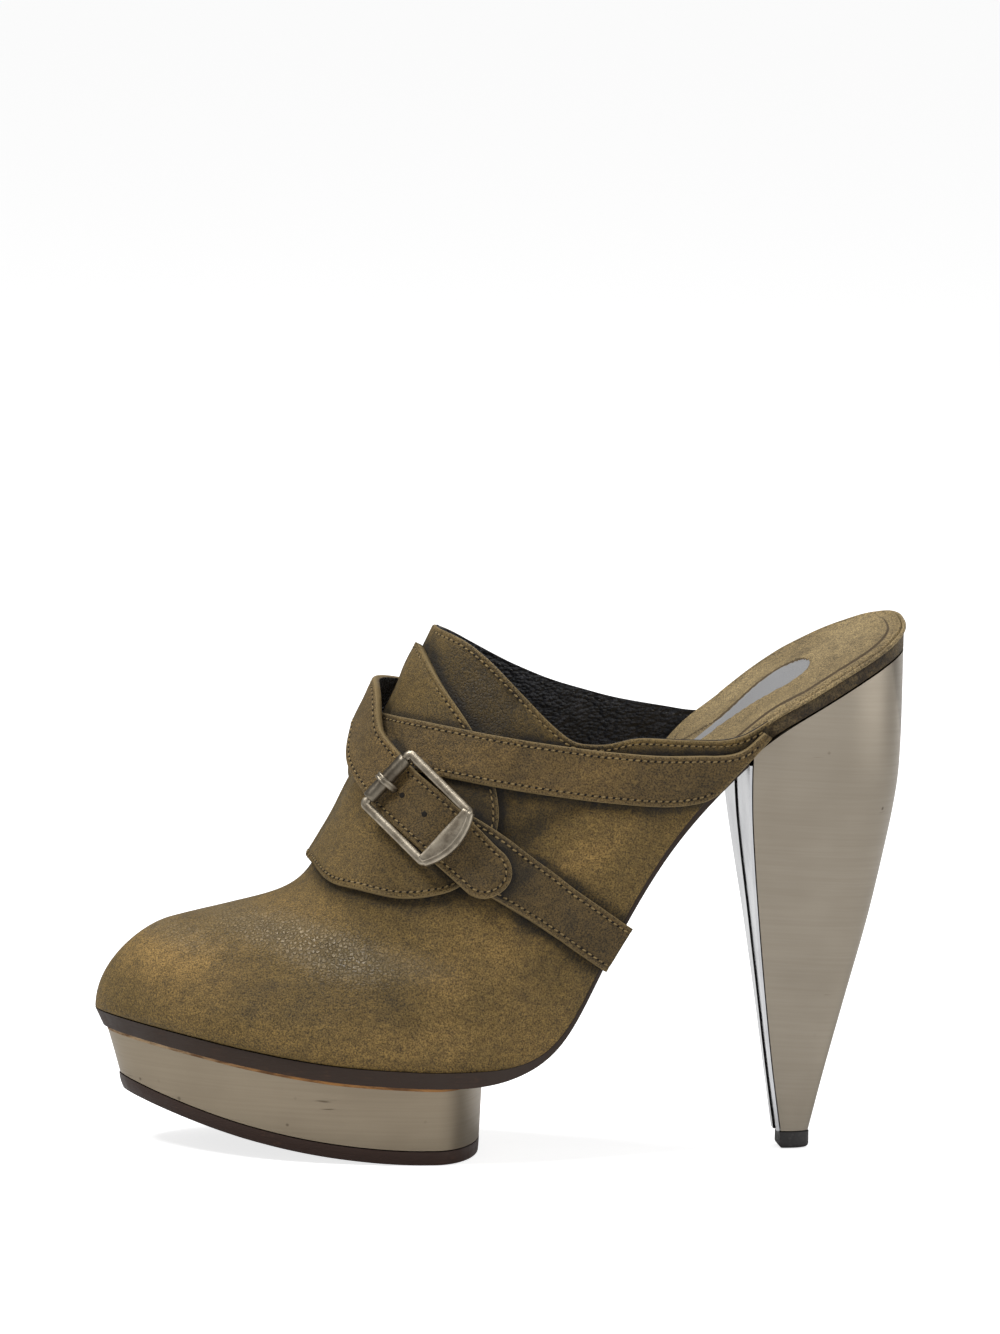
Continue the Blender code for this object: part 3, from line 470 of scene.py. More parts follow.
def group_finish(name, group, given, distance, strength, **inputs):
    """Material whose shader takes its colour, roughness and relief from a group."""
    finish, shader = new_finish(name, **inputs)
    node = put(finish.node_tree, "ShaderNodeGroup", {"node_tree": group}).socket.node
    for label, value in given.items():
        join(value, node.inputs[label])
    feed(shader, Base_Color=Flow(node.outputs["Color"]), Roughness=Flow(node.outputs["Roughness"]))
    bumped(shader, Flow(node.outputs["Height"]), distance, strength)
    return finish, shader, node


RAW_EDGE = colour(150, 128, 86)


def nubuck_finish(name, ground, gold, deep):
    """Nubuck in its own tones, reading the gold, deep, polish and edge marks of the piece it is on."""
    tones = {"Ground": colour(*ground), "Gold tone": colour(*gold), "Deep tone": colour(*deep)}
    tones["Raw tone"] = RAW_EDGE
    finish, _, node = group_finish(
        name, waxed_nubuck, tones, 0.0004, 0.85, Specular_IOR_Level=0.42,
        Sheen_Weight=0.1, Sheen_Roughness=0.45, Sheen_Tint=colour(196, 186, 152))
    for mark in ("gold", "deep", "polish", "edge"):
        join(marked(finish.node_tree, mark), node.inputs[mark.capitalize()])
    return finish


upper_finish = nubuck_finish("olive upper nubuck", (113, 91, 47), (150, 120, 67), (66, 52, 22))

# Placed one by one: gold where the wax is thin, and as painted light on the lit toe and crease ridges;
# deep where it lies thick, and as painted shade in troughs and by the flap and straps; polish where it is
# rubbed smooth, under a painted highlight.
UPPER_GOLD = [
    (-88, 51, 18, 8, -10, 1.0), (-62, 60, 18, 5, -14, 0.35), (-18, 47, 8, 6, 0, 0.55),
    (-30, 55, 9, 3, -20, 0.35), (-14, 33, 22, 5, 0, 0.4), (17, 79, 16, 4.0, 30, 0.7),
    (2, 58, 9, 7, 20, 0.3), (-66, 33, 16, 3, -8, 0.25),
]
UPPER_DEEP = [
    (-60, 43, 26, 6, -8, 0.55), (-34, 44, 12, 5, -4, 0.35), (-5, 118, 11, 17, 30, 1.1),
    (3, 86, 11, 3.2, 27, 1.1), (-14, 76, 12, 4, -25, 0.3), (-92, 44, 12, 5, -8, 0.15),
    (8, 50, 10, 8, 0, 0.2), (12, 66, 6, 5, 30, 0.25), (2, 90, 10, 4, 0, 0.5), (-13, 130, 8, 7, 0, 0.4),
]
UPPER_POLISH = [
    (-46, 54, 15, 6, -12, 1.0), (-24, 52, 12, 5, -10, 0.5), (-6, 122, 10, 14, 40, 0.3),
    (-66, 60, 18, 5, -6, 0.7), (-86, 56, 12, 4, -12, 0.6),
]
# x, z and x, z of each end, half width and depth of the troughs; a ridge is less than zero deep
UPPER_CREASES = [
    (-6, 82, 15, 92, 3.4, 1.1), (5, 73, 30, 87, 4.0, -1.0), (16, 54, 30, 72, 3.0, 0.35),
    (-52, 58, -22, 50, 5.0, -0.35), (-48, 50, -16, 42, 5.5, 0.3), (-10, 112, 4, 126, 2.5, 0.3),
    (-34, 62, -26, 50, 1.3, 0.12), (-44, 63, -38, 52, 1.2, 0.1),
]


def creased(x, z, table):
    """Soft troughs and ridges along short lines, in the plane of the shoe's side."""
    total = np.zeros(np.broadcast(x, z).shape)
    for x0, z0, x1, z1, wide, deep in table:
        t = np.clip(((x - x0) * (x1 - x0) + (z - z0) * (z1 - z0)) / ((x1 - x0) ** 2 + (z1 - z0) ** 2), 0, 1)
        apart = ((x - x0 - t * (x1 - x0)) ** 2 + (z - z0 - t * (z1 - z0)) ** 2) / wide ** 2
        total -= deep * np.exp(-apart)
    return total


def top_z(x, side):
    return np.where(x <= THROAT_X, ridge_z(x), collar[side](x))


def side_grid(stations, side, rows, lower_top=0.0):
    """Places on one side of the last from the sole edge up to the ridge or the collar."""
    x = stations[:, None]
    rise = top_z(x, side) - lower_top * (x > THROAT_X) - sole_z(x)
    return last_point(x + 0 * rows, sole_z(x) + rise * rows, side)


def upper_cut(vamp_count, wing_count, row_count, lower_top=0.0):
    """Flat list of places on the upper's cut, their outward directions and the faces between them."""
    rows = np.sin(np.pi / 2 * np.linspace(0, 1, row_count))
    vamp_x, wing_x = start_spaced(TOE_X, THROAT_X, vamp_count), start_spaced(THROAT_X, WING_END_X, wing_count)
    vamp = [side_grid(vamp_x, side, rows) for side in (OUTER, INNER)]
    grids = [np.concatenate([vamp[0], vamp[1][:, -2::-1]], axis=1)]
    grids += [side_grid(wing_x, side, rows, lower_top) for side in (OUTER, INNER)]
    faces, start = [], 0
    for grid in grids:
        faces.append(grid_faces(*grid.shape[:2], start))
        start += grid.shape[0] * grid.shape[1]
    places = np.concatenate([grid.reshape(-1, 3) for grid in grids])
    kept, cells = welded(places, np.concatenate(faces))
    return places[kept], outward(places[kept]), cells


def collar_line(side, count=420):
    x = start_spaced(THROAT_X, WING_END_X, count)
    return last_point(x, collar[side](x), side)


def wax_and_painted_light_marks(at, edge, gold=(), deep=(), polish=()):
    """Marks that the nubuck reads: distance to a cut edge, and patches of thin, thick and rubbed wax, which
    also carry painted light, shade and highlight.
    """
    tables = {"gold": gold, "deep": deep, "polish": polish}
    return {"edge": edge, **{mark: blots(at[:, 0], at[:, 2], table) for mark, table in tables.items()}}


collar_edge = np.concatenate([collar_line(side) for side in (OUTER, INNER)])
places, facing, cells = upper_cut(*UPPER_MESH)
edge = to_line(places, collar_edge)
on_sole = places[:, 2] - sole_z(places[:, 0])
relief = sewn_relief(edge) + creased(places[:, 0], places[:, 2], UPPER_CREASES)
relief += UPPER_RIPPLE * ripple(places, UPPER_RIPPLE_LONG, 3) * eased(on_sole, *UPPER_RIPPLE_Z)
relief -= rolled_edge(on_sole, UPPER_FOOT_ROUND)
flesh = places - facing * LEATHER
flesh[:, 2] = np.where(on_sole < 1e-6, places[:, 2], flesh[:, 2])
upper_skin = sheet_piece(
    "upper_nubuck", places + facing * relief[:, None], flesh, cells, [upper_finish],
    wax_and_painted_light_marks(places, edge, UPPER_GOLD, UPPER_DEEP, UPPER_POLISH))
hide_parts("upper")


def sewing_tree():
    """Rows of like small shapes on points: thread lengths, or the needle holes between them."""
    tree = bpy.data.node_groups.new("sewn row", "GeometryNodeTree")
    kinds = {"Geometry": "Geometry", "Length": "Float", "Width": "Float", "Height": "Float", "Slant": "Float"}
    for label, kind in {**kinds, "Material": "Material"}.items():
        tree.interface.new_socket(label, in_out="INPUT", socket_type="NodeSocket" + kind)
    tree.interface.new_socket("Geometry", in_out="OUTPUT", socket_type="NodeSocketGeometry")
    given = given_by(tree)
    size = put(tree, "ShaderNodeCombineXYZ", X=given["Length"], Y=given["Width"], Z=given["Height"])
    bead = put(tree, "GeometryNodeMeshUVSphere", Segments=8, Rings=5, Radius=0.5)
    bead = put(tree, "GeometryNodeTransform", Geometry=bead, Scale=size)
    along, up = [
        put(tree, "GeometryNodeInputNamedAttribute", {"data_type": "FLOAT_VECTOR"}, "Attribute", Name=mark)
        for mark in ("along", "facing")
    ]
    align = "FunctionNodeAlignRotationToVector"
    turn = put(tree, align, {"axis": "Z"}, Vector=up)
    turn = put(tree, align, {"axis": "X", "pivot_axis": "Z"}, Rotation=turn, Vector=along)
    slant = put(tree, "FunctionNodeAxisAngleToRotation", Axis=(0, 0, 1), Angle=given["Slant"])
    local = {"rotation_space": "LOCAL"}
    turn = put(tree, "FunctionNodeRotateRotation", local, Rotation=turn, Rotate_By=slant)
    row = put(tree, "GeometryNodeInstanceOnPoints", Points=given["Geometry"], Instance=bead, Rotation=turn)
    row = put(tree, "GeometryNodeRealizeInstances", Geometry=row)
    row = put(tree, "GeometryNodeSetShadeSmooth", Geometry=row)
    row = put(tree, "GeometryNodeSetMaterial", Geometry=row, Material=given["Material"])
    join(row, tree.nodes.new("NodeGroupOutput").inputs["Geometry"])
    return tree


sewn_row = sewing_tree()


def laid_row(name, places, along, facing, length, width, height, slant, finish):
    """One sewn row as a plain mesh piece, from places in millimetres."""
    mesh = bpy.data.meshes.new(name)
    mesh.from_pydata((places * MM).tolist(), [], [])
    for mark, vectors in (("along", along), ("facing", facing)):
        held = mesh.attributes.new(mark, "FLOAT_VECTOR", "POINT")
        held.data.foreach_set("vector", np.asarray(vectors, np.float32).ravel())
    piece = bpy.data.objects.new(name, mesh)
    bpy.context.scene.collection.objects.link(piece)
    modifier = piece.modifiers.new("sewn row", "NODES")
    modifier.node_group = sewn_row
    values = {"Length": length * MM, "Width": width * MM, "Height": height * MM}
    values.update({"Slant": slant, "Material": finish})
    for socket in sewn_row.interface.items_tree:
        if socket.in_out == "INPUT" and socket.name in values:
            modifier[socket.identifier] = values[socket.name]
    bpy.context.view_layer.update()
    done = bpy.data.meshes.new_from_object(piece.evaluated_get(bpy.context.evaluated_depsgraph_get()))
    piece.modifiers.clear()
    piece.data = done
    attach(piece, "root")
    return piece


thread_finish, shader = new_finish("waxed olive thread")
ply = object_space(shader.id_data).cloud(1500, 2.0)
thread_tone = ply.step(0.35, 0.65).mix(colour(112, 92, 56), colour(158, 134, 88))
feed(shader, Base_Color=thread_tone, Roughness=ply.step(0.3, 0.7, 0.5, 0.7))
bumped(shader, ply, 0.0001)

# needle holes are small dark ovals of painted shade
needle_hole, shader = new_finish("needle hole shade", Roughness=0.95)
hole_shade_cloud = object_space(shader.id_data).cloud(900, 2.0)
feed(shader, Base_Color=hole_shade_cloud.mix(colour(16, 12, 7), colour(30, 23, 13)))
# label, place in the pitch, height, then length, width, thickness and slant of each one
OLIVE_ROWS = (
    ("thread", 0.5, 0.06, (1.4, 0.52, 0.46, 0.14), thread_finish),
    ("needle_holes", 0.0, 0.04, (0.9, 0.66, 0.28, 0.4), needle_hole),
)


def run_of(points):
    return np.concatenate([[0], np.cumsum(np.linalg.norm(np.diff(points, axis=0), axis=1))])


def at_runs(s, run, values):
    """Places or directions at distances along a line."""
    return np.stack([np.interp(s, run, values[:, axis]) for axis in range(3)], -1)


STITCH_HALF = 0.6


def sew(name, line, facing, slot, rows=OLIVE_ROWS):
    """Thread lengths and needle holes spaced along a line on a surface."""
    run = run_of(line)
    count = int(run[-1] / STITCH_PITCH)
    for label, shift, lift, sizes, finish in rows:
        s = (np.arange(count) + shift) * run[-1] / count
        along = unit(at_runs(s + STITCH_HALF, run, line) - at_runs(s - STITCH_HALF, run, line))
        up = unit(at_runs(s, run, facing))
        row = laid_row(f"{name}_{label}", at_runs(s, run, line) + up * lift, along, up, *sizes, finish)


def inset_on_side(side, inset, count=700):
    """Line on one side of the upper that runs at a distance inside the collar's edge."""
    x = start_spaced(THROAT_X, WING_END_X - SEAM_SHORT, count)
    steps = np.linspace(0, SEAM_DOWN, 90)
    grid = last_point(x[:, None], (collar[side](x))[:, None] - steps, side)
    apart = to_line(grid, collar_line(side))
    down = np.array([np.interp(inset, row, steps) for row in apart])
    line = last_point(x, collar[side](x) - down, side)
    keep = np.array([row.max() > inset for row in apart])
    return line[keep], outward(line[keep])


for side, name in ((OUTER, "collar_outer"), (INNER, "collar_inner")):
    line, up = inset_on_side(side, SEAM_IN)
    sew(name, line + up * sewn_relief(np.array(SEAM_IN)), up, "upper_leather")


# Lining: thin black goat leather with a small creased grain, cemented inside the upper and caught in the
# collar's seam, so that its thread shows as a pale row below the edge.
LINING_OFF, LINING_THICK, LINING_DROP = 1.15, 0.6, -0.15
LINING_WRINKLE, LINING_WRINKLE_LONG, LINING_WRINKLE_X = 0.12, 9, (-30, 0)
LINING_MESH = (70, 80, 40)


def goat_lining_group():
    """Small pebbled grain with drawn wrinkles and a painted highlight on their crests, for the linings of the
    upper and the straps.
    """
    tree, given, out = new_group("goat lining", {"Dark": UNSET, "Glint": UNSET})
    space = object_space(tree)
    bent = space.stretched((0.62, 1.0, 1.0))
    pebble, fold, fine = bent.cells("F1", 1150), bent.cloud(380, 4.0, 0.7), space.cloud(1900, 2.0)
    join(fold * 1.4 - pebble + fine * 0.3, out["Height"])
    # painted highlight: pale grey on the crests of the wrinkles
    painted_glint = fold.step(0.5, 0.72) * fine.step(0.4, 0.6)
    join(painted_glint.mix(given["Dark"], given["Glint"]), out["Color"])
    join(fine.step(0.3, 0.7, 0.24, 0.42), out["Roughness"])
    return tree


# black lining, and the pale grey of the painted highlight on its wrinkle crests
lining_tones = {"Dark": colour(33, 34, 39), "Glint": colour(80, 80, 86)}
lining_finish, _, _ = group_finish("black goat lining", goat_lining_group(), lining_tones, 0.00032, 0.9)
places, facing, cells = upper_cut(*LINING_MESH, LINING_DROP)
wrinkle = LINING_WRINKLE * ripple(places, LINING_WRINKLE_LONG, 11) * eased(places[:, 0], *LINING_WRINKLE_X)
inside = places - facing * (LINING_OFF + LINING_THICK - wrinkle[:, None])
lining = sheet_piece("upper_lining", places - facing * LINING_OFF, inside, cells, [lining_finish])
lining_thread, shader = new_finish("grey lining thread", Roughness=0.6)
ply = object_space(shader.id_data).cloud(1500, 2.0)
feed(shader, Base_Color=ply.mix(colour(62, 61, 62), colour(122, 120, 118)))
LINING_ROWS = (("thread", 0.5, 0.02, (0.8, 0.26, 0.2, 0.0), lining_thread),)
for side, name in ((OUTER, "lining_outer"), (INNER, "lining_inner")):
    line, up = inset_on_side(side, SEAM_IN)
    sew(name, line - up * (LINING_OFF + LINING_THICK), -up, "upper_leather", LINING_ROWS)


# Footbed: a shaped board with foam on it, wrapped in the olive nubuck and beaded round the heel seat. A sock
# of the same leather lies on it, cut out in a tongue shape over a plain grey satin patch.
# It is padded, and its soft edges and hollow are placed here.
FOOTBED_TILT, FOOTBED_TILT_X = 0.14, (30.0, 52.0)
FOOTBED_IN, FOOTBED_CLOSE, FOOTBED_CLOSE_X, FOOTBED_TOE_IN = 3.4, 2.0, (40.0, 54.0), 3.4
SEAT_X, SEAT_FLARE_X = (42, 52), (WING_END_X + 0.5, WING_END_X + 12.0)
SEAT_RIPPLE, SEAT_RIPPLE_LONG, SEAT_MESH_X = 0.1, 16, 40.0
FOOTBED_ROUND, SOCK_IN, SOCK_THICK, SOCK_CUT = 2.6, 4.2, 0.8, 0.25
SOCK_FRONT_X, SOCK_LOBE, SOCK_LOBE_Y = 47.0, 0.09, 13.0
# height, distance from the rim and half width of the bead, of the groove inside it and of the sock's hollow
BEAD, BEAD_GROOVE, SOCK_HOLLOW = (0.45, 1.2, 0.55), (-0.4, 2.1, 0.5), (-0.5, 11.0, math.sqrt(60))
# darkening of the footbed's rolled edge and sides, and how far below the top it starts
RIM_DARKENING, RIM_DARKENING_BELOW = 0.9, 1.5
# x, thickness of the padding along the middle
PADDING = [
    (-105.6, 2.4), (10, 2.4), (28, 8.0), (42, 15.0), (51, 13.2), (61, 10.6), (72, 10.0), (87, 9.6), (98, 8.6),
    (105, 8.2),
]
# x, half width of the tongue-shaped cut-out in the sock, from its open front to its round end
TONGUE = [
    (40, 2.0), (52, 2.4), (58, 3.4), (64, 5.4), (70, 7.4), (74, 8.0), (77, 7.2), (79.5, 5.0), (81.0, 0.0)]


def footbed_half(x, side):
    inside = FOOTBED_IN + (FOOTBED_CLOSE - FOOTBED_IN) * eased(x, *FOOTBED_CLOSE_X)
    inside = inside * (1 - eased(x, *SEAT_FLARE_X))
    front = rounded(x - TOE_X - FOOTBED_TOE_IN, TOE_ROUND / 2)
    return np.maximum(sole_half(x, side) - inside, 0.0) * front


padding, = table_curves(PADDING, LAST_EASE)


def footbed_top(x, y):
    return sole_z(x) + padding(x) + FOOTBED_TILT * y * eased(x, *FOOTBED_TILT_X)


front_x = start_spaced(TOE_X + FOOTBED_TOE_IN, SEAT_MESH_X, 60)
seat_x = HEEL_X + SEAT_MESH_X - start_spaced(SEAT_MESH_X, HEEL_X, 150, 4.0)[::-1]
x = np.concatenate([front_x, seat_x[1:]])[:, None]
k = np.sin(np.pi / 2 * np.linspace(-1, 1, 121))
half = np.where(k < 0, footbed_half(x, OUTER), footbed_half(x, INNER))
plan = np.stack(np.broadcast_arrays(x, last["mid"](x) + k * half, 0.0), -1)
rim = np.concatenate([plan[:, 0], plan[::-1, -1]])
fine_rim = np.concatenate([np.linspace(a, b, 4, endpoint=False) for a, b in zip(rim, rim[1:])])
edge = to_line(plan, fine_rim)
X, Y = plan[..., 0], plan[..., 1]
seat = eased(X, *SEAT_X)
tongue_half = curve_through(*np.array(TONGUE).T)(X)
tongue = np.where(X < TONGUE[-1][0], tongue_half - np.abs(Y - last["mid"](X)), -9.0)
lobe = X - SOCK_FRONT_X - SOCK_LOBE * (np.abs(Y) - SOCK_LOBE_Y) ** 2
sock = np.minimum(np.minimum(edge - SOCK_IN, -tongue), lobe)
top = footbed_top(X, Y) - rolled_edge(edge, FOOTBED_ROUND)
for (high, at, wide), where in ((BEAD, 1), (BEAD_GROOVE, 1), (SOCK_HOLLOW, sock > 0)):
    top += seat * high * np.exp(-((edge - at) / wide) ** 2) * where
top += SOCK_THICK * seat * (eased(sock, -SOCK_CUT, SOCK_CUT) - 1)
top += SEAT_RIPPLE * seat * ripple(plan, SEAT_RIPPLE_LONG, 5)
upper_side, under_side = [np.stack([X, Y, z], -1).reshape(-1, 3) for z in (top, sole_z(X))]
kept, cells = welded(plan.reshape(-1, 3), grid_faces(*plan.shape[:2]))
footbed_marks = {
    "edge": np.full(X.shape, 9.0), "rim": edge, "sock": sock, "tongue": tongue, "polish": 0 * X,
    "gold": blots(X, Y, [(92, 2, 12, 16, 0, 0.6), (62, 12, 12, 8, 0, 0.3)]),
    "deep": RIM_DARKENING * (top < footbed_top(X, Y) - RIM_DARKENING_BELOW),
}
footbed_finish = nubuck_finish("olive footbed nubuck", (144, 124, 86), (184, 161, 116), (56, 43, 24))
tree = footbed_finish.node_tree
shader = tree.nodes["Principled BSDF"]
hide, dull = [Flow(shader.inputs[label].links[0].from_socket) for label in ("Base Color", "Roughness")]
cut = marked(tree, "sock").sum("ABSOLUTE").step(0.5, 0.1) * marked(tree, "rim").step(0.6, 1.4)
satin = marked(tree, "tongue").step(0.25, 0.45)
satin_tone = object_space(tree).cloud(3000, 1.0).mix(colour(146, 146, 147), colour(168, 168, 170))
footbed_tone = satin.mix(cut.mix(hide, colour(84, 68, 46)), satin_tone)
feed(shader, Base_Color=footbed_tone, Roughness=dull - satin * 0.3)
footbed = sheet_piece(
    "footbed", upper_side[kept], under_side[kept], cells, [footbed_finish],
    {mark: values.ravel()[kept] for mark, values in footbed_marks.items()}, sharp=60)
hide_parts("insole")


def bar_mesh(path, wide, high, square, up, sides=20, closed=False):
    """Bar along a path with an oval or squarish section; sizes are given for each point of the path."""
    path = np.asarray(path, float)
    count = len(path)
    ahead = np.roll(path, -1, 0) if closed else np.concatenate([path[1:], path[-1:]])
    behind = np.roll(path, 1, 0) if closed else np.concatenate([path[:1], path[:-1]])
    along = unit(ahead - behind)
    across = unit(np.cross(along, up))
    rise = np.cross(across, along)
    wide, high, square = [np.broadcast_to(np.asarray(v, float), count)[:, None] for v in (wide, high, square)]
    turn = 2 * np.pi * (np.arange(sides) + 0.5) / sides
    c, s = np.cos(turn), np.sin(turn)
    size = (np.abs(c) ** square + np.abs(s) ** square) ** (-1 / square)
    places = path[:, None] + across[:, None] * (wide / 2 * c * size)[..., None]
    places = places + rise[:, None] * (high / 2 * s * size)[..., None]
    faces = []
    for i in range(count if closed else count - 1):
        a, b = i * sides, (i + 1) % count * sides
        faces += [[a + k, a + (k + 1) % sides, b + (k + 1) % sides, b + k] for k in range(sides)]
    if not closed:
        faces += [list(range(sides)), [(count - 1) * sides + k for k in reversed(range(sides))]]
    return places.reshape(-1, 3), faces


PIPING_FROM_X, PIPING_DOWN, PIPING_WIDE = 60.0, 1.9, 1.15
seen = x[:, 0] > PIPING_FROM_X
seen_rim = np.concatenate([plan[seen, 0], plan[seen, -1][::-1]])
seen_rim[:, 2] = footbed_top(seen_rim[:, 0], seen_rim[:, 1]) - PIPING_DOWN
rim_run = run_of(seen_rim)
piping_path = at_runs(np.linspace(0, rim_run[-1], 240), rim_run, seen_rim)
points, faces = bar_mesh(piping_path, PIPING_WIDE, PIPING_WIDE, 2, np.array([0, 0, 1.0]), 10)
piping_marks = {"gold": 0.35, "deep": 0.1, "polish": 0.0}
piping_marks.update({"edge": 9.0, "rim": 9.0, "sock": 9.0, "tongue": -9.0})
piping = add_piece(
    "seat_piping", points, faces, [footbed_finish],
    {mark: np.full(len(points), value) for mark, value in piping_marks.items()})


# Welt sole: one layer of dark brown sole leather, cut to the upper's outline, waxed and burnished at its
# edge, thin and flexible under the arch. A tan layer of raw leather shows as a fine line below it.
SEAM = 0.3
ARCH_X = (-13.0, 12.0)
WELT_FRONT, WELT_ARCH, WELT_INSET, WELT_UNDERCUT, WELT_LIP = 3.9, 1.9, 0.6, 2.2, 0.05
RAND_THICK = 0.75
BEVEL_ANGLE, BEVEL_STEPS = 38, 3


def welt_under(x):
    return sole_z(x) - SEAM - WELT_FRONT - (WELT_ARCH - WELT_FRONT) * eased(x, *ARCH_X)


def stacked(name, levels, finish, marks=None, bevel=0.0, sharp=40):
    """Solid from closed outlines one above another, each along the outer side and back along the inner."""
    levels = np.asarray(levels)
    count = levels.shape[1]
    here, across = np.arange(count), np.arange(count // 2 - 1)
    there = (here + 1) % count
    starts = np.arange(len(levels)) * count
    faces = [np.stack([a + here, a + there, a + count + there, a + count + here], -1) for a in starts[:-1]]
    for a in starts[[0, -1]]:
        b = a + count - 1
        faces.append(np.stack([a + across, a + across + 1, b - 1 - across, b - across], -1))
    places = levels.reshape(-1, 3)
    kept, cells = welded(places, np.concatenate(faces))
    held = {mark: np.asarray(values).reshape(-1)[kept] for mark, values in (marks or {}).items()}
    piece = add_piece(name, places[kept], cells, [finish], held, sharp=sharp)
    if bevel:
        rounding = piece.modifiers.new("rubbed edges", "BEVEL")
        rounding.width, rounding.segments, rounding.limit_method = bevel * MM, BEVEL_STEPS, "ANGLE"
        rounding.angle_limit = math.radians(BEVEL_ANGLE)
    return piece


def both_sides(outer, inner):
    """Outline along the outer side and back along the inner one."""
    return np.concatenate([outer, inner[::-1]])


def sole_leather_group():
    """Dark edge-dyed sole leather: waxed sheen, faint fibre lines, scuffs that lighten it."""
    tree, given, out = new_group("dyed sole leather", {"Dye": UNSET, "Scuff": UNSET, "Wear": 0.5})
    space = object_space(tree)
    fibre, patch = space.stretched((0.12, 0.12, 1.0)).cloud(1500, 3.0), space.cloud(120, 4.0, 0.65)
    worn = patch.step(0.52, 0.75) * given["Wear"] * fibre.step(0.4, 0.65)
    join(worn.mix(given["Dye"], given["Scuff"]), out["Color"])
    join(patch.step(0.3, 0.7, 0.36, 0.58), out["Roughness"])
    join(fibre + patch * 0.5, out["Height"])
    return tree


sole_leather = sole_leather_group()


def sole_finish(name, dye, scuff, wear):
    given = {"Dye": colour(*dye), "Scuff": colour(*scuff), "Wear": wear}
    return group_finish(name, sole_leather, given, 0.00012, 0.6, Specular_IOR_Level=0.3)[0]


def welt_line(x, side, level):
    """Edge of the welt at a share of its height, 0 at the top and 1 below; the toe is undercut."""
    half = sole_half(x, side) - WELT_INSET * eased(x, *ARCH_X)
    at_x = x + level * WELT_UNDERCUT * (1 - eased(x, TOE_X, TOE_X + TOE_ROUND))
    top, under = sole_z(at_x) - WELT_LIP, welt_under(at_x)
    return np.stack([at_x, last["mid"](x) + side * half, top + (under - top) * level], -1)


welt_x = np.concatenate([start_spaced(TOE_X, THROAT_X, 90), np.linspace(THROAT_X, BREAST_X - SEAM, 80)[1:]])
welt_levels = [
    both_sides(*[welt_line(welt_x, side, level) for side in (OUTER, INNER)])
    for level in (0, 0.25, 0.5, 0.75, 1)]
welt_finish = sole_finish("burnished welt leather", (56, 43, 35), (86, 62, 48), 0.5)
welt = stacked("welt_edge_leather", welt_levels, welt_finish, bevel=0.35)
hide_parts("welt_sole")


# Platform: a wooden block clad in brushed gunmetal sheet, wrapped round the forefoot and cut to a round end
# under the arch; it leans in towards the floor. A raw tan layer is cemented between it and the welt.
OUTSOLE_THICK, TREAD_FLAT_X, TREAD_CURVE = 3.6, -22.0, 0.0024
PLATFORM_X = (-102.2, -3.9)
PLATFORM_INSET, PLATFORM_TAPER, SIDE_TAPER, REAR_TAPER, PLATFORM_CORNER = 1.6, 3.4, 0.8, 0.15, 16.0
RAND_OUT, RAND_GAP, RAND_OVER = 0.1, 0.02, 0.1


def tread_z(x):
    return TREAD_CURVE * np.maximum(TREAD_FLAT_X - x, 0.0) ** 2


def platform_line(t, side, shrink, height):
    """Edge of the block where it has shrunk by so much, at a height given over the place along it."""
    x = PLATFORM_X[0] + (PLATFORM_X[1] - PLATFORM_X[0]) * t
    ends = rounded(PLATFORM_X[1] - x, PLATFORM_CORNER) * rounded(x - PLATFORM_X[0], TOE_ROUND)
    width = np.where(side < 0, last["outer"](x), last["inner"](x))
    half = (width - PLATFORM_INSET - shrink * SIDE_TAPER) * ends
    at_x = x + shrink * (1 - t) - shrink * REAR_TAPER * t
    return np.stack([at_x, last["mid"](x) + side * half, height(at_x)], -1)


def platform_ring(shrink, height):
    t = (1 - np.cos(np.pi * np.linspace(0, 1, 150))) / 2
    return both_sides(*[platform_line(t, side, shrink, height) for side in (OUTER, INNER)])


def block_top(x):
    return welt_under(x) - SEAM / 2 - RAND_THICK


def block_foot(x):
    return tread_z(x) + OUTSOLE_THICK + SEAM


def brushed_metal_group():
    """Brushed and handled sheet metal: fine streaks, faint clouding, stray scratches and pits."""
    brushing = {"Along": 40.0, "Upright": 1400.0, "Lean": 0.0}
    tree, given, out = new_group("brushed metal", {"Metal": UNSET, "Tarnish": UNSET, **brushing})
    space, along = object_space(tree), given["Along"]
    part = put(tree, "ShaderNodeSeparateXYZ", Vector=space).socket.node.outputs
    x, y, z = [Flow(part[axis]) for axis in "XYZ"]
    level = (z + x * given["Lean"]) * given["Upright"]
    streak = put(tree, "ShaderNodeCombineXYZ", X=x * along, Y=y * along, Z=level).cloud(1.0, 3.0, 0.6)
    haze = space.cloud(38, 2.0)
    scuff = space.stretched((0.1, 0.1, 1.0), (0.2, 0.5, 0.3)).cloud(480, 2.0, 0.6).step(0.7, 0.77)
    scuff = scuff * space.cloud(90, 2.0).step(0.5, 0.62)
    pit = space.cells("F1", 130).step(0.1, 0.04) * haze.step(0.42, 0.56)
    mark = (scuff * 0.7).sum("MAXIMUM", pit * 0.9)
    tone = (streak.step(0.3, 0.7, 0.0, 0.14) + haze.step(0.35, 0.7, 0.0, 0.3) + mark).sum("MINIMUM", 1.0)
    worn = tone.mix(given["Metal"], given["Tarnish"])
    join((mark * 0.5).mix(worn, colour(58, 50, 42)), out["Color"])
    join(streak.step(0.3, 0.7, 0.34, 0.4) + mark * 0.25, out["Roughness"])
    join(streak * 0.2 - mark, out["Height"])
    return tree


brushed_metal = brushed_metal_group()


def metal_finish(name, metal, tarnish, along, upright, lean):
    given = {"Metal": colour(*metal), "Tarnish": colour(*tarnish)}
    given.update({"Along": along, "Upright": upright, "Lean": lean})
    finish, shader, node = group_finish(name, brushed_metal, given, 0.00004, 0.5, Metallic=1.0)
    shade = marked(finish.node_tree, "shade")
    feed(shader, Base_Color=shade.mix(Flow(node.outputs["Color"]), colour(70, 64, 56)))
    return finish


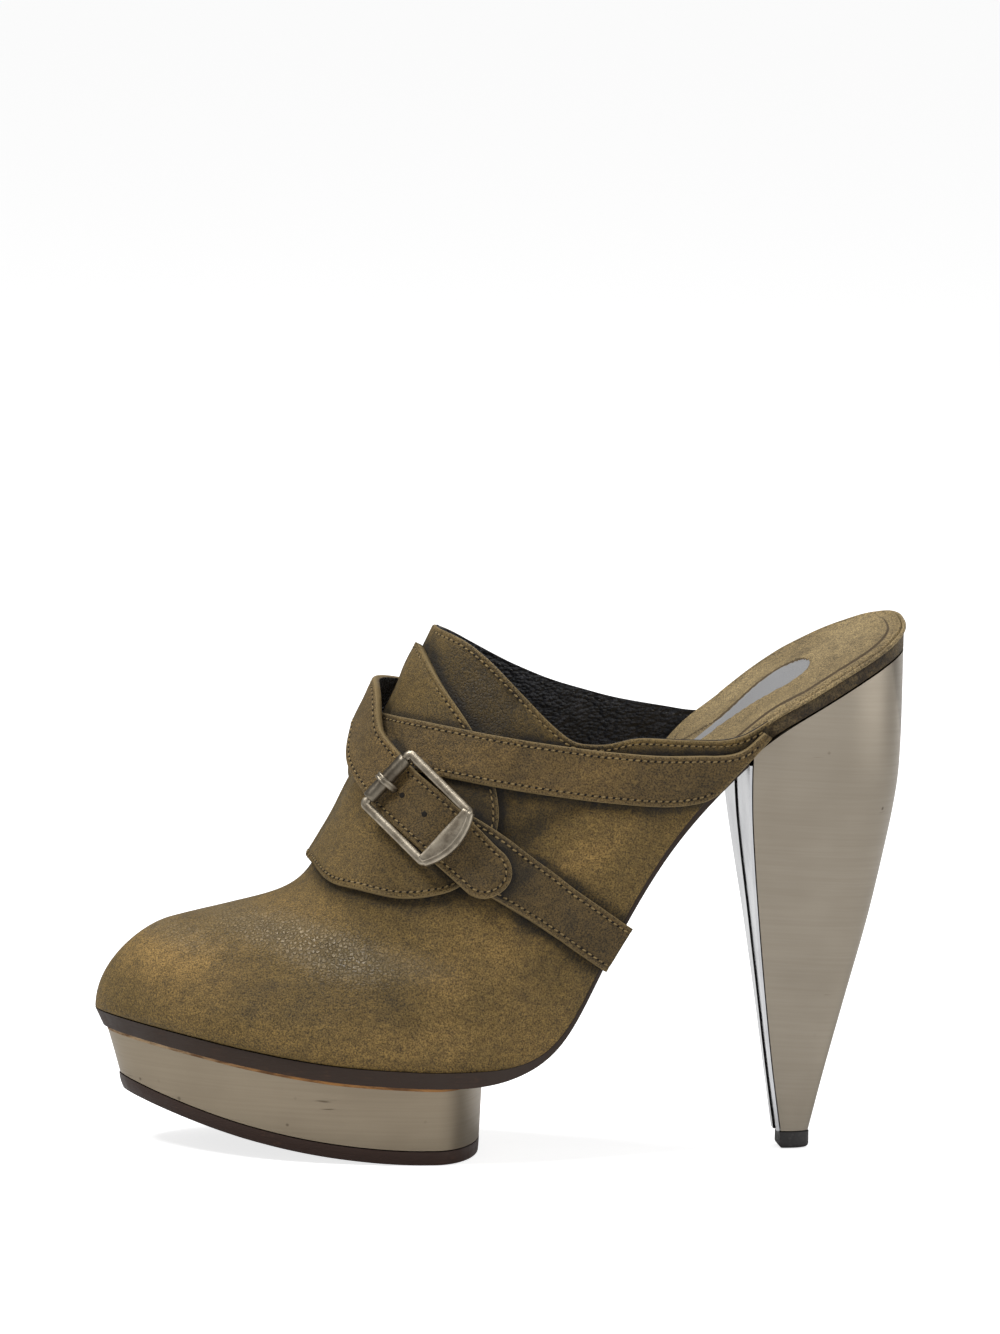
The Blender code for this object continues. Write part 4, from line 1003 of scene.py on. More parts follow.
block_levels = [
    platform_ring(PLATFORM_TAPER * t, lambda x, t=t: block_top(x) + (block_foot(x) - block_top(x)) * t)
    for t in np.linspace(0, 1, 9)]
block_finish = metal_finish("brushed platform gunmetal", (160, 147, 127), (134, 121, 103), 30, 1500, 0.0)
platform = stacked("platform_cladding", block_levels, block_finish, bevel=0.3)
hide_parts("platform")

rand_levels = [
    platform_ring(-RAND_OUT, lambda x, t=t: block_top(x) + RAND_GAP + (RAND_THICK + RAND_OVER) * t)
    for t in (0, 0.5, 1)]
rand_finish, shader = new_finish("raw tan rand", Roughness=0.75)
space = object_space(shader.id_data)
along = put(shader.id_data, "ShaderNodeSeparateXYZ", Vector=space)
broken = space.stretched((0.2, 0.2, 1.0)).cloud(700, 4.0, 0.7)
tan = along.step(-0.09, -0.06).mix(colour(204, 172, 132), colour(190, 134, 76))
tan = along.step(-0.025, 0.0).mix(tan, colour(92, 64, 42))
feed(shader, Base_Color=broken.step(0.34, 0.6).mix(colour(122, 84, 50), tan))
bumped(shader, broken, 0.0002)
rand = stacked("raw_rand", rand_levels, rand_finish, bevel=0.12)


# Outsole: thin brown leather runner cemented under the platform, its lower edge bevelled and scuffed, sprung
# up towards the toe.
RUNNER_BEVEL, RUNNER_OUT = 1.0, 0.15
runner_levels = []
for t in (0, 0.3, 0.6, 0.85, 1):
    shrink = PLATFORM_TAPER - RUNNER_OUT + (RUNNER_BEVEL + RUNNER_OUT) * t ** 2
    runner_levels.append(platform_ring(shrink, lambda x, t=t: tread_z(x) + OUTSOLE_THICK * (1 - t)))
runner_finish = sole_finish("scuffed runner leather", (56, 38, 30), (104, 72, 54), 0.8)
runner = stacked("runner_leather", runner_levels, runner_finish, bevel=0.4)
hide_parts("outsole")


# Heel: a tall horn-shaped core clad in brushed gunmetal sheet round its sides and back, screwed up into the
# heel seat; flat in front where the polished plate lies.
HEEL_COLUMNS = ("front", "back", "half", "power")
HEEL = [
    (4.6, 74.6, 83.4, 4.7, 2.2), (20, 72.2, 87.1, 5.2, 2.2), (39.5, 69.5, 92.1, 7.4, 2.2),
    (63.5, 66.2, 98.2, 13.2, 2.25), (80, 63.9, 101.5, 19.4, 2.35), (92, 62.5, 103.6, 23.8, 2.45),
    (102, 62, 104.7, 26, 2.55), (118, 62, 105, 26.8, 2.6), (134, 62, 105, 26.8, 2.6),
]
PLATE_THICK, HEEL_GAP = 0.7, 0.6
# Edge of the darker patch at the top of the back, how far it leans back on the way down, and its darkness.
SHADE_TOP_X, SHADE_TOP_Z, SHADE_LEAN, SHADE_DARK, SHADE_SOFT = 100.2, 132.0, -0.19, 0.4, (-0.6, 0.4)
HEEL_EASE, HEEL_TOP_GUESS = 3.0, 110.0
heel = dict(zip(HEEL_COLUMNS, table_curves(HEEL, HEEL_EASE)))


def heel_place(angle, z):
    """Place on the heel's outline at a height: angle 0 is the front corner, a quarter turn is the back."""
    power = heel["power"](z)
    front = heel["front"](z) + PLATE_THICK + SEAM
    depth = (heel["back"](z) - front) * np.sin(angle) ** (2 / power)
    return front + depth, heel["half"](z) * np.maximum(np.cos(angle), 0.0) ** (2 / power)


def mirrored_ring(x, half, z):
    """Closed outline that is the same on both sides."""
    x, half, z = np.broadcast_arrays(x, half, z)
    return both_sides(np.stack([x, -half, z], -1), np.stack([x, half, z], -1))


angles = np.pi / 2 * np.linspace(0, 1, 49)
heel_top = np.full(len(angles), HEEL_TOP_GUESS)
for _ in range(14):
    heel_top = sole_z(heel_place(angles, heel_top)[0]) - HEEL_GAP
heel_levels = []
for t in np.linspace(0, 1, 90):
    z = HEEL[0][0] + (heel_top - HEEL[0][0]) * t
    heel_levels.append(mirrored_ring(*heel_place(angles, z), z))
at = np.array(heel_levels)
behind_shade = at[..., 0] - SHADE_TOP_X - SHADE_LEAN * (at[..., 2] - SHADE_TOP_Z)
heel_marks = {"shade": SHADE_DARK * eased(behind_shade, *SHADE_SOFT)}
heel_finish = metal_finish("brushed heel gunmetal", (170, 160, 145), (144, 134, 119), 32, 1300, 0.06)
heel_cladding = stacked("heel_cladding", heel_levels, heel_finish, heel_marks, bevel=0.25)
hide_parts("heel")


# Breast plate: polished steel sheet pressed over the front of the heel and lapped along its middle, where the
# dark edge of the inner half runs from the arch down to the tip.
PLATE_IN, PLATE_OVER, LAP_HALF, LAP_THICK, KEEL = 0.15, 0.2, 0.06, 0.4, 0.01
plate_z = np.linspace(HEEL[0][0], welt_under(BREAST_X - SEAM) + PLATE_OVER, 60)[:, None]
plate_half = heel["half"](plate_z) - PLATE_IN
shares = np.array([-1, -0.75, -0.5, -0.25, 0, 0, 0, 0, 0.25, 0.5, 0.75, 1])
steps = np.array([0, 0, 0, 0, -3, -1, 1, 3, 0, 0, 0, 0]) * LAP_HALF
plate_y = shares * plate_half + steps
proud = LAP_THICK * (plate_y > 0) + KEEL * (plate_half - np.abs(plate_y))
plate_front, plate_back = [
    np.stack(np.broadcast_arrays(heel["front"](plate_z) + shift, plate_y, plate_z), -1).reshape(-1, 3)
    for shift in (-proud, PLATE_THICK)]
lap = np.broadcast_to(np.abs(steps) == LAP_HALF, plate_y.shape).ravel().astype(float)
plate_finish, shader = new_finish("polished breast plate", Metallic=1.0)
smear = object_space(shader.id_data).cloud(70, 3.0)
bright = smear.step(0.35, 0.7).mix(colour(226, 227, 229), colour(206, 207, 210))
on_lap = marked(shader.id_data, "lap").step(0.3, 0.6)
feed(shader, Base_Color=on_lap.mix(bright, colour(20, 20, 21)), Roughness=smear.step(0.3, 0.7, 0.1, 0.2))
cells = grid_faces(*plate_y.shape).tolist()
plate = sheet_piece("breast_plate", plate_front, plate_back, cells, [plate_finish], {"lap": lap}, sharp=30)
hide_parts("heel_breast")


# Heel tip: a moulded black rubber lift, nailed under the heel and trimmed flush with it, rounded where it
# meets the floor.
TIP_HEIGHT, TIP_GROW, TIP_ROUND, TIP_POWER = 4.3, 0.2, 1.0, 2 / HEEL[0][4]
tip_front, tip_back = HEEL[0][1] + PLATE_THICK, HEEL[0][2] + TIP_GROW
turns = np.pi / 2 * np.linspace(0, 1, 25)
tip_levels = []
for z in (TIP_HEIGHT, 3.0, 1.6, 1.0, 0.6, 0.3, 0.1, 0.0):
    inset = rolled_edge(np.array(z), TIP_ROUND)
    reach = (tip_back - tip_front) / 2 - inset
    x = tip_front + inset + 2 * reach * np.sin(turns) ** TIP_POWER
    half = (HEEL[0][3] + TIP_GROW - inset) * np.maximum(np.cos(turns), 0.0) ** TIP_POWER
    tip_levels.append(mirrored_ring(x, half, z))
rubber_finish, shader = new_finish("moulded black rubber")
dust = object_space(shader.id_data).cloud(420, 4.0, 0.7)
rubber_tone = dust.step(0.5, 0.75).mix(colour(46, 43, 43), colour(74, 70, 69))
feed(shader, Base_Color=rubber_tone, Roughness=dust.step(0.3, 0.7, 0.42, 0.62))
bumped(shader, dust, 0.00008)
tip = stacked("rubber_tip", tip_levels, rubber_finish, sharp=60)
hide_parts("heel_tip")


# Flap: an oval of the same nubuck over the instep, stitched round its edge, held only under the straps, so
# that its lower edge stands a little off the vamp.
STRAP_THICK, LAY, FLAP_LAY = 1.5, 0.45, 0.6
FLAP_TOP_X, FLAP_FOOT_X, FLAP_LIFT, FLAP_FOOT_DROP = -21.5, -48.8, 0.8, 0.7
FLAP_EDGE_LIFT, FLAP_RIDGE_LIFT = (0.62, 1.0), (0.8, 1.0)
FLAP_DROP_REACH, FLAP_DROP_S, FLAP_FILL, FLAP_EASE = 1.1, (0.86, 0.98), 0.25, 2.0
FLAP_RIPPLE, FLAP_RIPPLE_LONG = 0.12, 14
FLAP_SEAM_DOWN, FLAP_SEAM_S, FLAP_SEAM_NEAR = 0.2, (0.02, 0.995), 0.15
# shares of the rows of points that crowd to the ridge and to the edge
RIDGE_ROWS, EDGE_ROWS = 0.55, 0.45
FLAP_EDGE = [
    (-18.4, 124.6), (-10.1, 111.5), (-5.6, 101.0), (-4.0, 91.0), (-8.6, 78.2), (-16.9, 71.2), (-29.7, 69.0),
    (-40.0, 70.4), (-46.2, 71.0),
]
flap_ends = [(x, float(ridge_z(x))) for x in (FLAP_TOP_X, FLAP_FOOT_X)]
flap_points = np.array([flap_ends[0], *FLAP_EDGE, flap_ends[1]])
flap_run = run_of(flap_points)
flap_x, flap_z = table_curves(np.column_stack([flap_run, flap_points]), FLAP_EASE)


def flap_place(s, out, side, height):
    """Place on the flap, from the ridge at out 0 to its edge at out 1, with its outward direction."""
    s, out, height = np.broadcast_arrays(s, out, height)
    ridge_x = FLAP_TOP_X + (FLAP_FOOT_X - FLAP_TOP_X) * s
    x = ridge_x + (flap_x(flap_run[-1] * s) - ridge_x) * out
    z = ridge_z(ridge_x) + (flap_z(flap_run[-1] * s) - ridge_z(ridge_x)) * out
    place = last_point(x, np.minimum(z, ridge_z(x) - 1e-6), side)
    up = outward(place)
    lift = FLAP_LAY + FLAP_LIFT * eased(s, *FLAP_EDGE_LIFT) * np.maximum(out, eased(s, *FLAP_RIDGE_LIFT))
    return place + up * (lift + height)[..., None], up


s = ((1 - np.cos(np.pi * np.linspace(0, 1, 110))) / 2)[:, None]
t = np.pi / 2 * np.linspace(0, 1, 40)[None, :]
out = RIDGE_ROWS * (1 - np.cos(t)) + EDGE_ROWS * np.sin(t)
rim_s = np.linspace(0, 1, 600)


def flap_edge_line(height):
    return np.concatenate([flap_place(rim_s, 1.0, side, height)[0] for side in (OUTER, INNER)])


flap_rim = flap_edge_line(STRAP_THICK)
halves = []
for side in (OUTER, INNER):
    flat = flap_place(s, out, side, STRAP_THICK)[0]
    edge = to_line(flat, flap_rim)
    height = STRAP_THICK + sewn_relief(edge) + FLAP_RIPPLE * ripple(flat, FLAP_RIPPLE_LONG, 8)
    height -= FLAP_FOOT_DROP * np.exp(-(edge / FLAP_DROP_REACH) ** 2) * eased(s, *FLAP_DROP_S)
    sheets = [flat] + [flap_place(s, out, side, at)[0] for at in (height, -FLAP_FILL)]
    halves.append(np.concatenate([*sheets, edge[..., None]], -1).reshape(-1, 10))
cells = np.concatenate([grid_faces(len(s), out.shape[1], start) for start in (0, len(halves[0]))])
halves = np.concatenate(halves)
kept, cells = welded(halves[:, :3], cells)
flat, grain, back, edge = np.split(halves[kept], (3, 6, 9), axis=1)
# patches of the flap: gold where the wax is thin; deep where it lies thick and, in part, as painted shade
# near its edge and the straps
FLAP_GOLD = [(-34, 78, 14, 7, 0, 0.25), (-20, 80, 10, 6, 0, 0.1), (-30, 120, 6, 10, 0, 0.2)]
FLAP_DEEP = [
    (-10, 92, 7, 12, 0, 0.5), (-22, 104, 14, 6, 0, 0.3), (-8, 91, 8, 5, 0, 0.6), (-34, 77, 15, 8, 0, 0.45)]
# reach and strength of the shadow painted on a piece along the edge of the one that lies on it, and its
# fainter, wider outer band
FLAP_SHADOW, STRAP_SHADOW = (1.9, 2.2), (1.5, 1.8)
SHADOW_BAND, SHADOW_BAND_STRENGTH = 3, 0.25


def paint_edge_shadow(piece, line, reach, strength):
    """Painted shadow on a piece along the edge of the one that lies on it, added to its deep mark."""
    held = piece.data.attributes["deep"].data
    deep, at = np.zeros(len(held)), np.zeros(3 * len(held))
    held.foreach_get("value", deep)
    piece.data.vertices.foreach_get("co", at)
    apart = to_line(at.reshape(-1, 3) / MM, line[::3]) / reach
    deep += strength * np.exp(-apart ** 2)
    deep += strength * SHADOW_BAND_STRENGTH * np.exp(-(apart / SHADOW_BAND) ** 2)
    held.foreach_set("value", deep)


# painted shadow of the flap's edge on the upper
paint_edge_shadow(upper_skin, flap_edge_line(0.0), *FLAP_SHADOW)
flap_finish = nubuck_finish("olive flap nubuck", (104, 84, 44), (140, 112, 60), (62, 49, 23))
flap = sheet_piece(
    "instep_flap", grain, back, cells, [flap_finish, lining_finish],
    wax_and_painted_light_marks(flat, edge.ravel(), FLAP_GOLD, FLAP_DEEP))
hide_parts("kiltie")


def flap_seam(side):
    """Line on one half of the flap that runs inside its edge."""
    rows, steps = np.linspace(*FLAP_SEAM_S, 300)[:, None], np.linspace(0, 1, 160)
    grid, up = flap_place(rows, steps, side, STRAP_THICK - FLAP_SEAM_DOWN)
    apart = np.abs(to_line(grid, flap_rim) - SEAM_IN)
    pick = np.arange(len(rows)), apart.argmin(1)
    near = apart[pick] < FLAP_SEAM_NEAR
    return grid[pick][near], up[pick][near]


for side, name in ((OUTER, "flap_outer"), (INNER, "flap_inner")):
    sew(name, *flap_seam(side), "flap_leather")


# Straps: three lengths of nubuck lined with the black goat, folded and stitched along both edges. Two start
# on the wings and cross over the flap, one goes down to the sole, and the buckle closes the front one.
STRAP_WIDTH = 13.3
HALF = STRAP_WIDTH / 2
ON_UPPER, ON_FLAP = LAY, FLAP_LAY + STRAP_THICK + LAY
ON_STRAP = ON_FLAP + STRAP_THICK + LAY
# x, z, side, half width above and below the middle line, height of the underside over the last
WING_RUN = [
    (66.3, 112.6, OUTER, 1.2, 1.2, ON_UPPER), (61.5, 106.0, OUTER, 3.0, 0.5, ON_UPPER),
    (57.0, 103.0, OUTER, 4.6, 1.8, ON_UPPER), (50.0, 100.8, OUTER, 6.3, 5.8, ON_UPPER),
    (40.0, 100.2, OUTER, HALF, HALF, ON_UPPER), (25.0, 101.0, OUTER, HALF, HALF, ON_UPPER),
    (12.0, 102.3, OUTER, HALF, HALF, ON_UPPER), (3.0, 103.4, OUTER, HALF, HALF, ON_UPPER + 0.4),
    (-4.5, 104.3, OUTER, HALF, HALF, ON_FLAP),
]
SOLE_RUN = [
    (6.0, 70.4, OUTER, HALF + 0.8, HALF, ON_UPPER), (14.0, 65.4, OUTER, HALF, HALF, ON_UPPER),
    (24.0, 58.6, OUTER, HALF, HALF, ON_UPPER), (28.0, 56.0, OUTER, HALF, HALF, ON_UPPER),
]
REAR_CROSSING = [
    (-16.0, 106.0, OUTER, HALF, HALF, ON_FLAP), (-26.0, 107.2, OUTER, HALF, HALF, ON_FLAP),
    (-32.5, 0.0, 0, HALF, HALF, ON_FLAP), (-32.0, 98.6, INNER, HALF, HALF, ON_FLAP),
    (-24.8, 91.6, INNER, HALF, HALF, ON_FLAP), (-17.0, 84.9, INNER, HALF, HALF, ON_FLAP),
    (-7.0, 78.0, INNER, HALF, HALF, ON_FLAP), (-1.0, 74.4, INNER, HALF, HALF, ON_FLAP - 0.4),
]
FRONT_CROSSING = [
    (-14.0, 108.4, INNER, HALF, HALF, ON_FLAP + 1.4), (-23.2, 112.6, INNER, HALF, HALF, ON_STRAP + 1.8),
    (-29.4, 0.0, 0, HALF, HALF + 1.0, ON_STRAP + 2.4),
    (-31.9, 104.4, OUTER, HALF, HALF + 0.6, ON_STRAP + 1.6),
    (-29.6, 97.4, OUTER, HALF + 0.6, HALF + 0.35, ON_STRAP),
    (-22.3, 89.6, OUTER, HALF + 0.6, HALF + 0.35, ON_STRAP + 0.6),
    (-14.9, 82.2, OUTER, HALF + 0.6, HALF + 0.35, ON_STRAP), (-8.4, 76.4, OUTER, HALF, HALF + 0.6, ON_STRAP),
    (-3.2, 72.0, OUTER, HALF, HALF + 1.0, ON_STRAP - 0.6),
]
ANCHOR_START = [
    (-20.9, 88.2, OUTER, HALF, HALF, ON_FLAP), (-15.6, 83.8, OUTER, HALF + 1.5, HALF, ON_FLAP),
    (-8.6, 79.0, OUTER, HALF + 2.0, HALF, ON_FLAP), (-2.5, 75.0, OUTER, HALF + 1.6, HALF, ON_FLAP - 0.2),
]
STRAP_FILL, STRAP_SEAM_DOWN, STRAP_STEP, STRAP_EASE, LOOK = 0.3, 0.14, 0.9, 1.6, 0.8
# height of the crinkles, more of it near the start, over how far, their length and where the edge stops them
CRINKLE, CRINKLE_START, CRINKLE_S, CRINKLE_LONG, CRINKLE_EDGE = 0.1, 0.2, (45, 8), 9, (0.5, 3)
# where a seam starts and stops along a strap, and how much width it needs above and below
SEAM_START, SEAM_STOP, SEAM_ROOM, SEAM_NARROW, TIP_GAP, TIP_POINT = 1.5, 0.5, 0.5, 1.4, 0.3, 0.002
# distances in from the edge of the rows of points across half a strap
STRAP_ROWS = [0, 0.12, 0.3, 0.5, 0.8, 1.15, 1.5, 1.8, 2.1, 2.4, 2.8, 3.4, *np.linspace(4.2, HALF, 5)]
# ends, half width and depth of the short creases where the straps bend with the foot
STRAP_CREASES = [
    (19, 97, 23, 106, 0.9, 0.3), (24.5, 98, 23, 104, 0.7, 0.2), (33, 96, 36, 102, 0.8, 0.2),
    (46, 96, 52, 103, 1.1, 0.35), (52, 97, 56, 104, 0.9, 0.3), (41, 100, 48, 104, 0.8, 0.2),
    (-2, 101, 1, 106, 0.9, 0.2), (-12, 80, -6, 74, 1.0, 0.35), (-9, 82, -5, 78, 0.8, 0.25),
    (-6, 73, -2, 76, 0.8, 0.3), (-31, 110, -27, 104, 1.0, 0.25), (8, 66, 12, 71, 0.9, 0.25),
]


def on_inner_side(rows):
    return [(x, z, INNER, *rest) for x, z, _, *rest in rows]


class StrapLine:
    """Middle line of a strap on the last, with its half widths and height over the distance along it."""

    def __init__(self, rows):
        table = np.array(rows, float)
        x, z, side = table[:, 0], table[:, 1], table[:, 2]
        on_ridge = np.stack([x, last["mid"](x), ridge_z(x)], -1)
        points = np.where((side == 0)[:, None], on_ridge, last_point(x, z, side))
        run = run_of(points)
        self.long = run[-1]
        curves = table_curves(np.column_stack([run, points, table[:, 3:]]), STRAP_EASE)
        self.axes = curves[:3]
        self.above, self.below, self.lift = curves[3:]

    def middle(self, s):
        return np.stack([axis(s) for axis in self.axes], -1)

    def ahead(self, s):
        return unit(self.middle(s + LOOK) - self.middle(s - LOOK))

    def place(self, s, across, height):
        """Place at a distance along, a distance across and a height over the strap's underside."""
        s, across, height = np.broadcast_arrays(s, across, height)
        middle, up = onto_last(self.middle(s))
        beside = unit(np.cross(up, self.ahead(s)))
        beside = np.where(beside[..., 2:] < 0, -beside, beside)
        place, up = onto_last(middle + beside * across[..., None])
        return place + up * (self.lift(s) + height)[..., None], up


def finer(rows):
    """Points of some lines, with three more between each two."""
    return np.concatenate([np.linspace(a[:-1], a[1:], 4, endpoint=False).reshape(-1, 3) for a in rows])


strap_finish = nubuck_finish("olive strap nubuck", (95, 76, 42), (138, 110, 62), (54, 43, 22))


def strap_piece(name, line, gold, deep, below, round_end=False):
    """Strap with rubbed edges, its black back, its two seams and, on one end, a round tip."""
    fine = np.array(STRAP_ROWS) / HALF
    shares = np.concatenate([fine - 1, (1 - fine)[-2::-1]])
    s = np.linspace(0, line.long, int(line.long / STRAP_STEP))
    taper = np.ones(len(s))
    if round_end:
        turns = np.pi / 2 * np.linspace(0, 1, 22)
        body = s[s < line.long - HALF - TIP_GAP]
        s = np.concatenate([body, line.long - HALF * (1 - np.sin(turns))])
        taper = np.concatenate([np.ones(len(body)), np.maximum(np.cos(turns), TIP_POINT)])
    S = s[:, None] + 0 * shares
    across = np.where(shares > 0, line.above(S), line.below(S)) * shares * taper[:, None]
    flat, up = line.place(S, across, STRAP_THICK)
    edge = to_line(flat, finer([flat[:, 0], flat[:, -1]] + ([flat[-1]] if round_end else [])))
    crinkle = ripple(flat, CRINKLE_LONG, len(name)) * (CRINKLE + CRINKLE_START * eased(S, *CRINKLE_S))
    crinkle += creased(flat[..., 0], flat[..., 2], STRAP_CREASES)
    grain = flat + up * (sewn_relief(edge) + crinkle * eased(edge, *CRINKLE_EDGE))[..., None]
    back = flat - up * (STRAP_THICK + STRAP_FILL)
    # painted shadow along the strap's edges on the pieces it lies on
    for under in below:
        paint_edge_shadow(under, finer([back[:, 0], back[:, -1]]), *STRAP_SHADOW)
    strap = sheet_piece(
        name, grain.reshape(-1, 3), back.reshape(-1, 3), grid_faces(*S.shape).tolist(),
        [strap_finish, lining_finish], wax_and_painted_light_marks(flat.reshape(-1, 3), edge.ravel(), gold, deep))
    seam_s = np.linspace(SEAM_START, line.long - (HALF if round_end else SEAM_STOP), 400)
    upper_s = seam_s[line.above(seam_s) > SEAM_IN + SEAM_ROOM]
    lower_s = seam_s[line.below(seam_s) > HALF - SEAM_NARROW]
    rows = [(upper_s, line.above(upper_s) - SEAM_IN), (lower_s, SEAM_IN - line.below(lower_s))]
    if round_end:
        turns = np.linspace(0, np.pi, 60)[1:-1]
        bend_s = line.long - HALF + (HALF - SEAM_IN) * np.sin(turns)
        bend = np.cos(turns) * np.where(np.cos(turns) > 0, rows[0][1][-1], -rows[1][1][-1])
        rows = [(np.concatenate([upper_s, bend_s, lower_s[::-1]]),
                 np.concatenate([rows[0][1], bend, rows[1][1][::-1]]))]
    for i, (along, across) in enumerate(rows):
        sew(f"{name}_{i}", *line.place(along, across, STRAP_THICK - STRAP_SEAM_DOWN), "strap_leather")
    return strap


rear_line = StrapLine(WING_RUN + REAR_CROSSING + on_inner_side(SOLE_RUN))
front_line = StrapLine(on_inner_side(WING_RUN) + FRONT_CROSSING)
anchor_line = StrapLine(ANCHOR_START + SOLE_RUN)
# patches on each strap: gold where the wax is thin; deep where it lies thick and, in part, painted shade,
# strongest on the anchor strap
rear_strap = strap_piece(
    "rear_strap", rear_line, [(-10, 106, 12, 4, 0, 0.4), (22, 103, 8, 4, 0, 0.3)],
    [(50, 99, 6, 3, 40, 0.5), (33, 97, 7, 3, 0, 0.4), (2, 103, 5, 4, 0, 0.3)], [upper_skin, flap])
anchor_strap = strap_piece(
    "anchor_strap", anchor_line, [],
    [(-6, 78, 12, 10, 0, 0.95), (20, 60, 12, 8, 0, 0.75)], [upper_skin, flap])
front_strap = strap_piece(
    "front_strap", front_line, [(-30, 104, 6, 8, 0, 0.3)], [(-10, 78, 10, 6, 0, 0.25)],
    [upper_skin, flap, rear_strap, anchor_strap], True)
for strap, node in ((rear_strap, "strap_rear"), (front_strap, "strap_front"), (anchor_strap, "strap_anchor")):
    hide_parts(node)


# Buckle: cast frame in antique pewter with flattened side bars and one broad, bowed end bar, a rolled sleeve
# turning on the other end, a bar across the middle and a prong whose ridged tip lies round the sleeve.
BUCKLE_AT, BUCKLE_ACROSS, BUCKLE_REACH, BUCKLE_WIDTH = -1.35, 0.5, 9.3, 20.2
BUCKLE_TURN, BUCKLE_TILT = -4.2, 3.0
BUCKLE_CLEAR, BAR, BAR_HIGH, END_BAR = 0.9, 2.4, 2.0, 3.4
# Edges of the end bar, all measured from the middle of its mount; the outer edge bows from corner to middle.
END_INNER, END_CORNER, END_MIDDLE, END_STEP = -1.2, 1.75, 4.6, 1.3
CENTRE_BAR, CENTRE_BAR_BEND, CENTRE_BAR_DROP = 1.5, 0.3, 3.5
ROLLER_MOUNT, ROLLER_OUTER, ROLLER_BORE, ROLLER_PIN, ROLLER_PLAY = 3.6, 3.9, 2.5, 1.7, 0.6
PRONG, RING_WIDE, RING_APART, SLOT_BEHIND = 1.3, 0.85, 0.5, 7.2
# the first two darken the sleeve and paint shadow on the prong's stub, where shade falls below the sleeve
SLEEVE_DARKENING, STUB_SHADOW, SLEEVE_EDGE, SLEEVE_END, PRONG_THIN, PRONG_SIDES = 0.5, 0.92, 0.25, 1.2, 0.55, 16
PRONG_CLEAR, BAR_CLEAR, BAR_SQUARE, PIN_SQUARE, PLATE_SQUARE = 0.1, 0.3, 3.2, 1.2, 4.5
PIN_CORNER, PIN_LONG, END_TURN, END_LONG, END_RAISE, END_RAISE_HIGH = 1.0, 2.2, 0.7, 1.0, 0.8, 0.2
# along the buckle and height over the centre bar, up to the sleeve; then degrees round the sleeve
PRONG_RISE = [(-1.5, 0.1), (-4.0, 0.2), (-6.8, 0.3), (-7.8, 0.8), (-8.15, 1.6), (-8.1, 2.5)]
PRONG_CURL = (35, 62, 90, 118, 146, 172)

runs = np.linspace(0, front_line.long, 2000)
centre = last_point(np.array(FRONT_CROSSING[5][0]), np.array(FRONT_CROSSING[5][1]), OUTER)
buckle_run = runs[np.linalg.norm(front_line.middle(runs) - centre, axis=1).argmin()] + BUCKLE_AT
bar_ends = []
for reach, clear in ((-BUCKLE_REACH, ROLLER_MOUNT / 2), (BUCKLE_REACH, END_BAR / 2)):
    end, _ = front_line.place(buckle_run + reach, 0.0, STRAP_THICK + BUCKLE_CLEAR + clear)
    bar_ends.append(Vector(end))
over = Vector(onto_last(front_line.middle(np.array(buckle_run)))[1])
straight = (bar_ends[1] - bar_ends[0]).normalized()
level = straight.cross(over.cross(straight)).normalized()
buckle_up = Matrix.Rotation(math.radians(BUCKLE_TILT), 3, straight) @ level
buckle_along = Matrix.Rotation(math.radians(BUCKLE_TURN), 3, buckle_up) @ straight
buckle_side = buckle_up.cross(buckle_along)
buckle_middle = (bar_ends[0] + bar_ends[1]) / 2 + buckle_side * BUCKLE_ACROSS
reach = (bar_ends[1] - bar_ends[0]).length / 2
slot_across = (Vector(front_line.middle(np.array(buckle_run - SLOT_BEHIND))) - buckle_middle).dot(buckle_side)


def in_buckle(points):
    """Places from the buckle's own along, side and up."""
    axes = np.array([buckle_along, buckle_side, buckle_up])
    return np.array(buckle_middle) + np.asarray(points, float) @ axes


half = BUCKLE_WIDTH / 2 - BAR / 2


def end_width(across):
    """Width of the end bar, which is straight inside and bowed outside."""
    bow = (END_MIDDLE - END_CORNER) * (1 - np.clip(np.abs(across) / half, 0, 1) ** 2)
    return END_CORNER + bow - END_INNER


def arc(middle_along, middle_across, radius, start, end):
    turn = np.radians(np.linspace(start, end, 7))
    return np.column_stack([middle_along + radius * np.cos(turn), middle_across + radius * np.sin(turn)])


corner_a = reach + END_CORNER - BAR / 2
bar_a = np.linspace(-reach + 2 * PIN_CORNER, corner_a - END_TURN - BAR_CLEAR, 14)
one_side = np.concatenate([
    [(-reach, -half + PIN_LONG)], arc(-reach + PIN_CORNER, -half + PIN_CORNER, PIN_CORNER, 180, 270),
    np.column_stack([bar_a, 0 * bar_a - half]),
    arc(corner_a - END_TURN, -half + END_TURN, END_TURN, 270, 360),
    [(corner_a, -half + END_TURN + END_LONG)],
])
rail = np.concatenate([one_side[::-1] * [1, -1], one_side])
pin = np.zeros(len(rail))
pin[[len(one_side) - 1, len(one_side)]] = 1.0
wide = BAR - (BAR - ROLLER_PIN) * pin
high = BAR_HIGH - (BAR_HIGH - ROLLER_PIN) * pin
rail_places = in_buckle(np.column_stack([rail, np.zeros(len(rail))]))
parts = [bar_mesh(rail_places, wide, high, BAR_SQUARE - PIN_SQUARE * pin, np.array(buckle_up))]


def end_plate(stop, narrow, thick, height):
    """Plate across the end of the frame, straight inside and bowed outside."""
    across = np.linspace(-stop, stop, 33)
    wide = end_width(across) - narrow
    path = np.column_stack([reach + END_INNER + 0.1 + wide / 2, across, 0 * across + height])
    return bar_mesh(in_buckle(path), wide, thick, PLATE_SQUARE, np.array(buckle_up), 24)


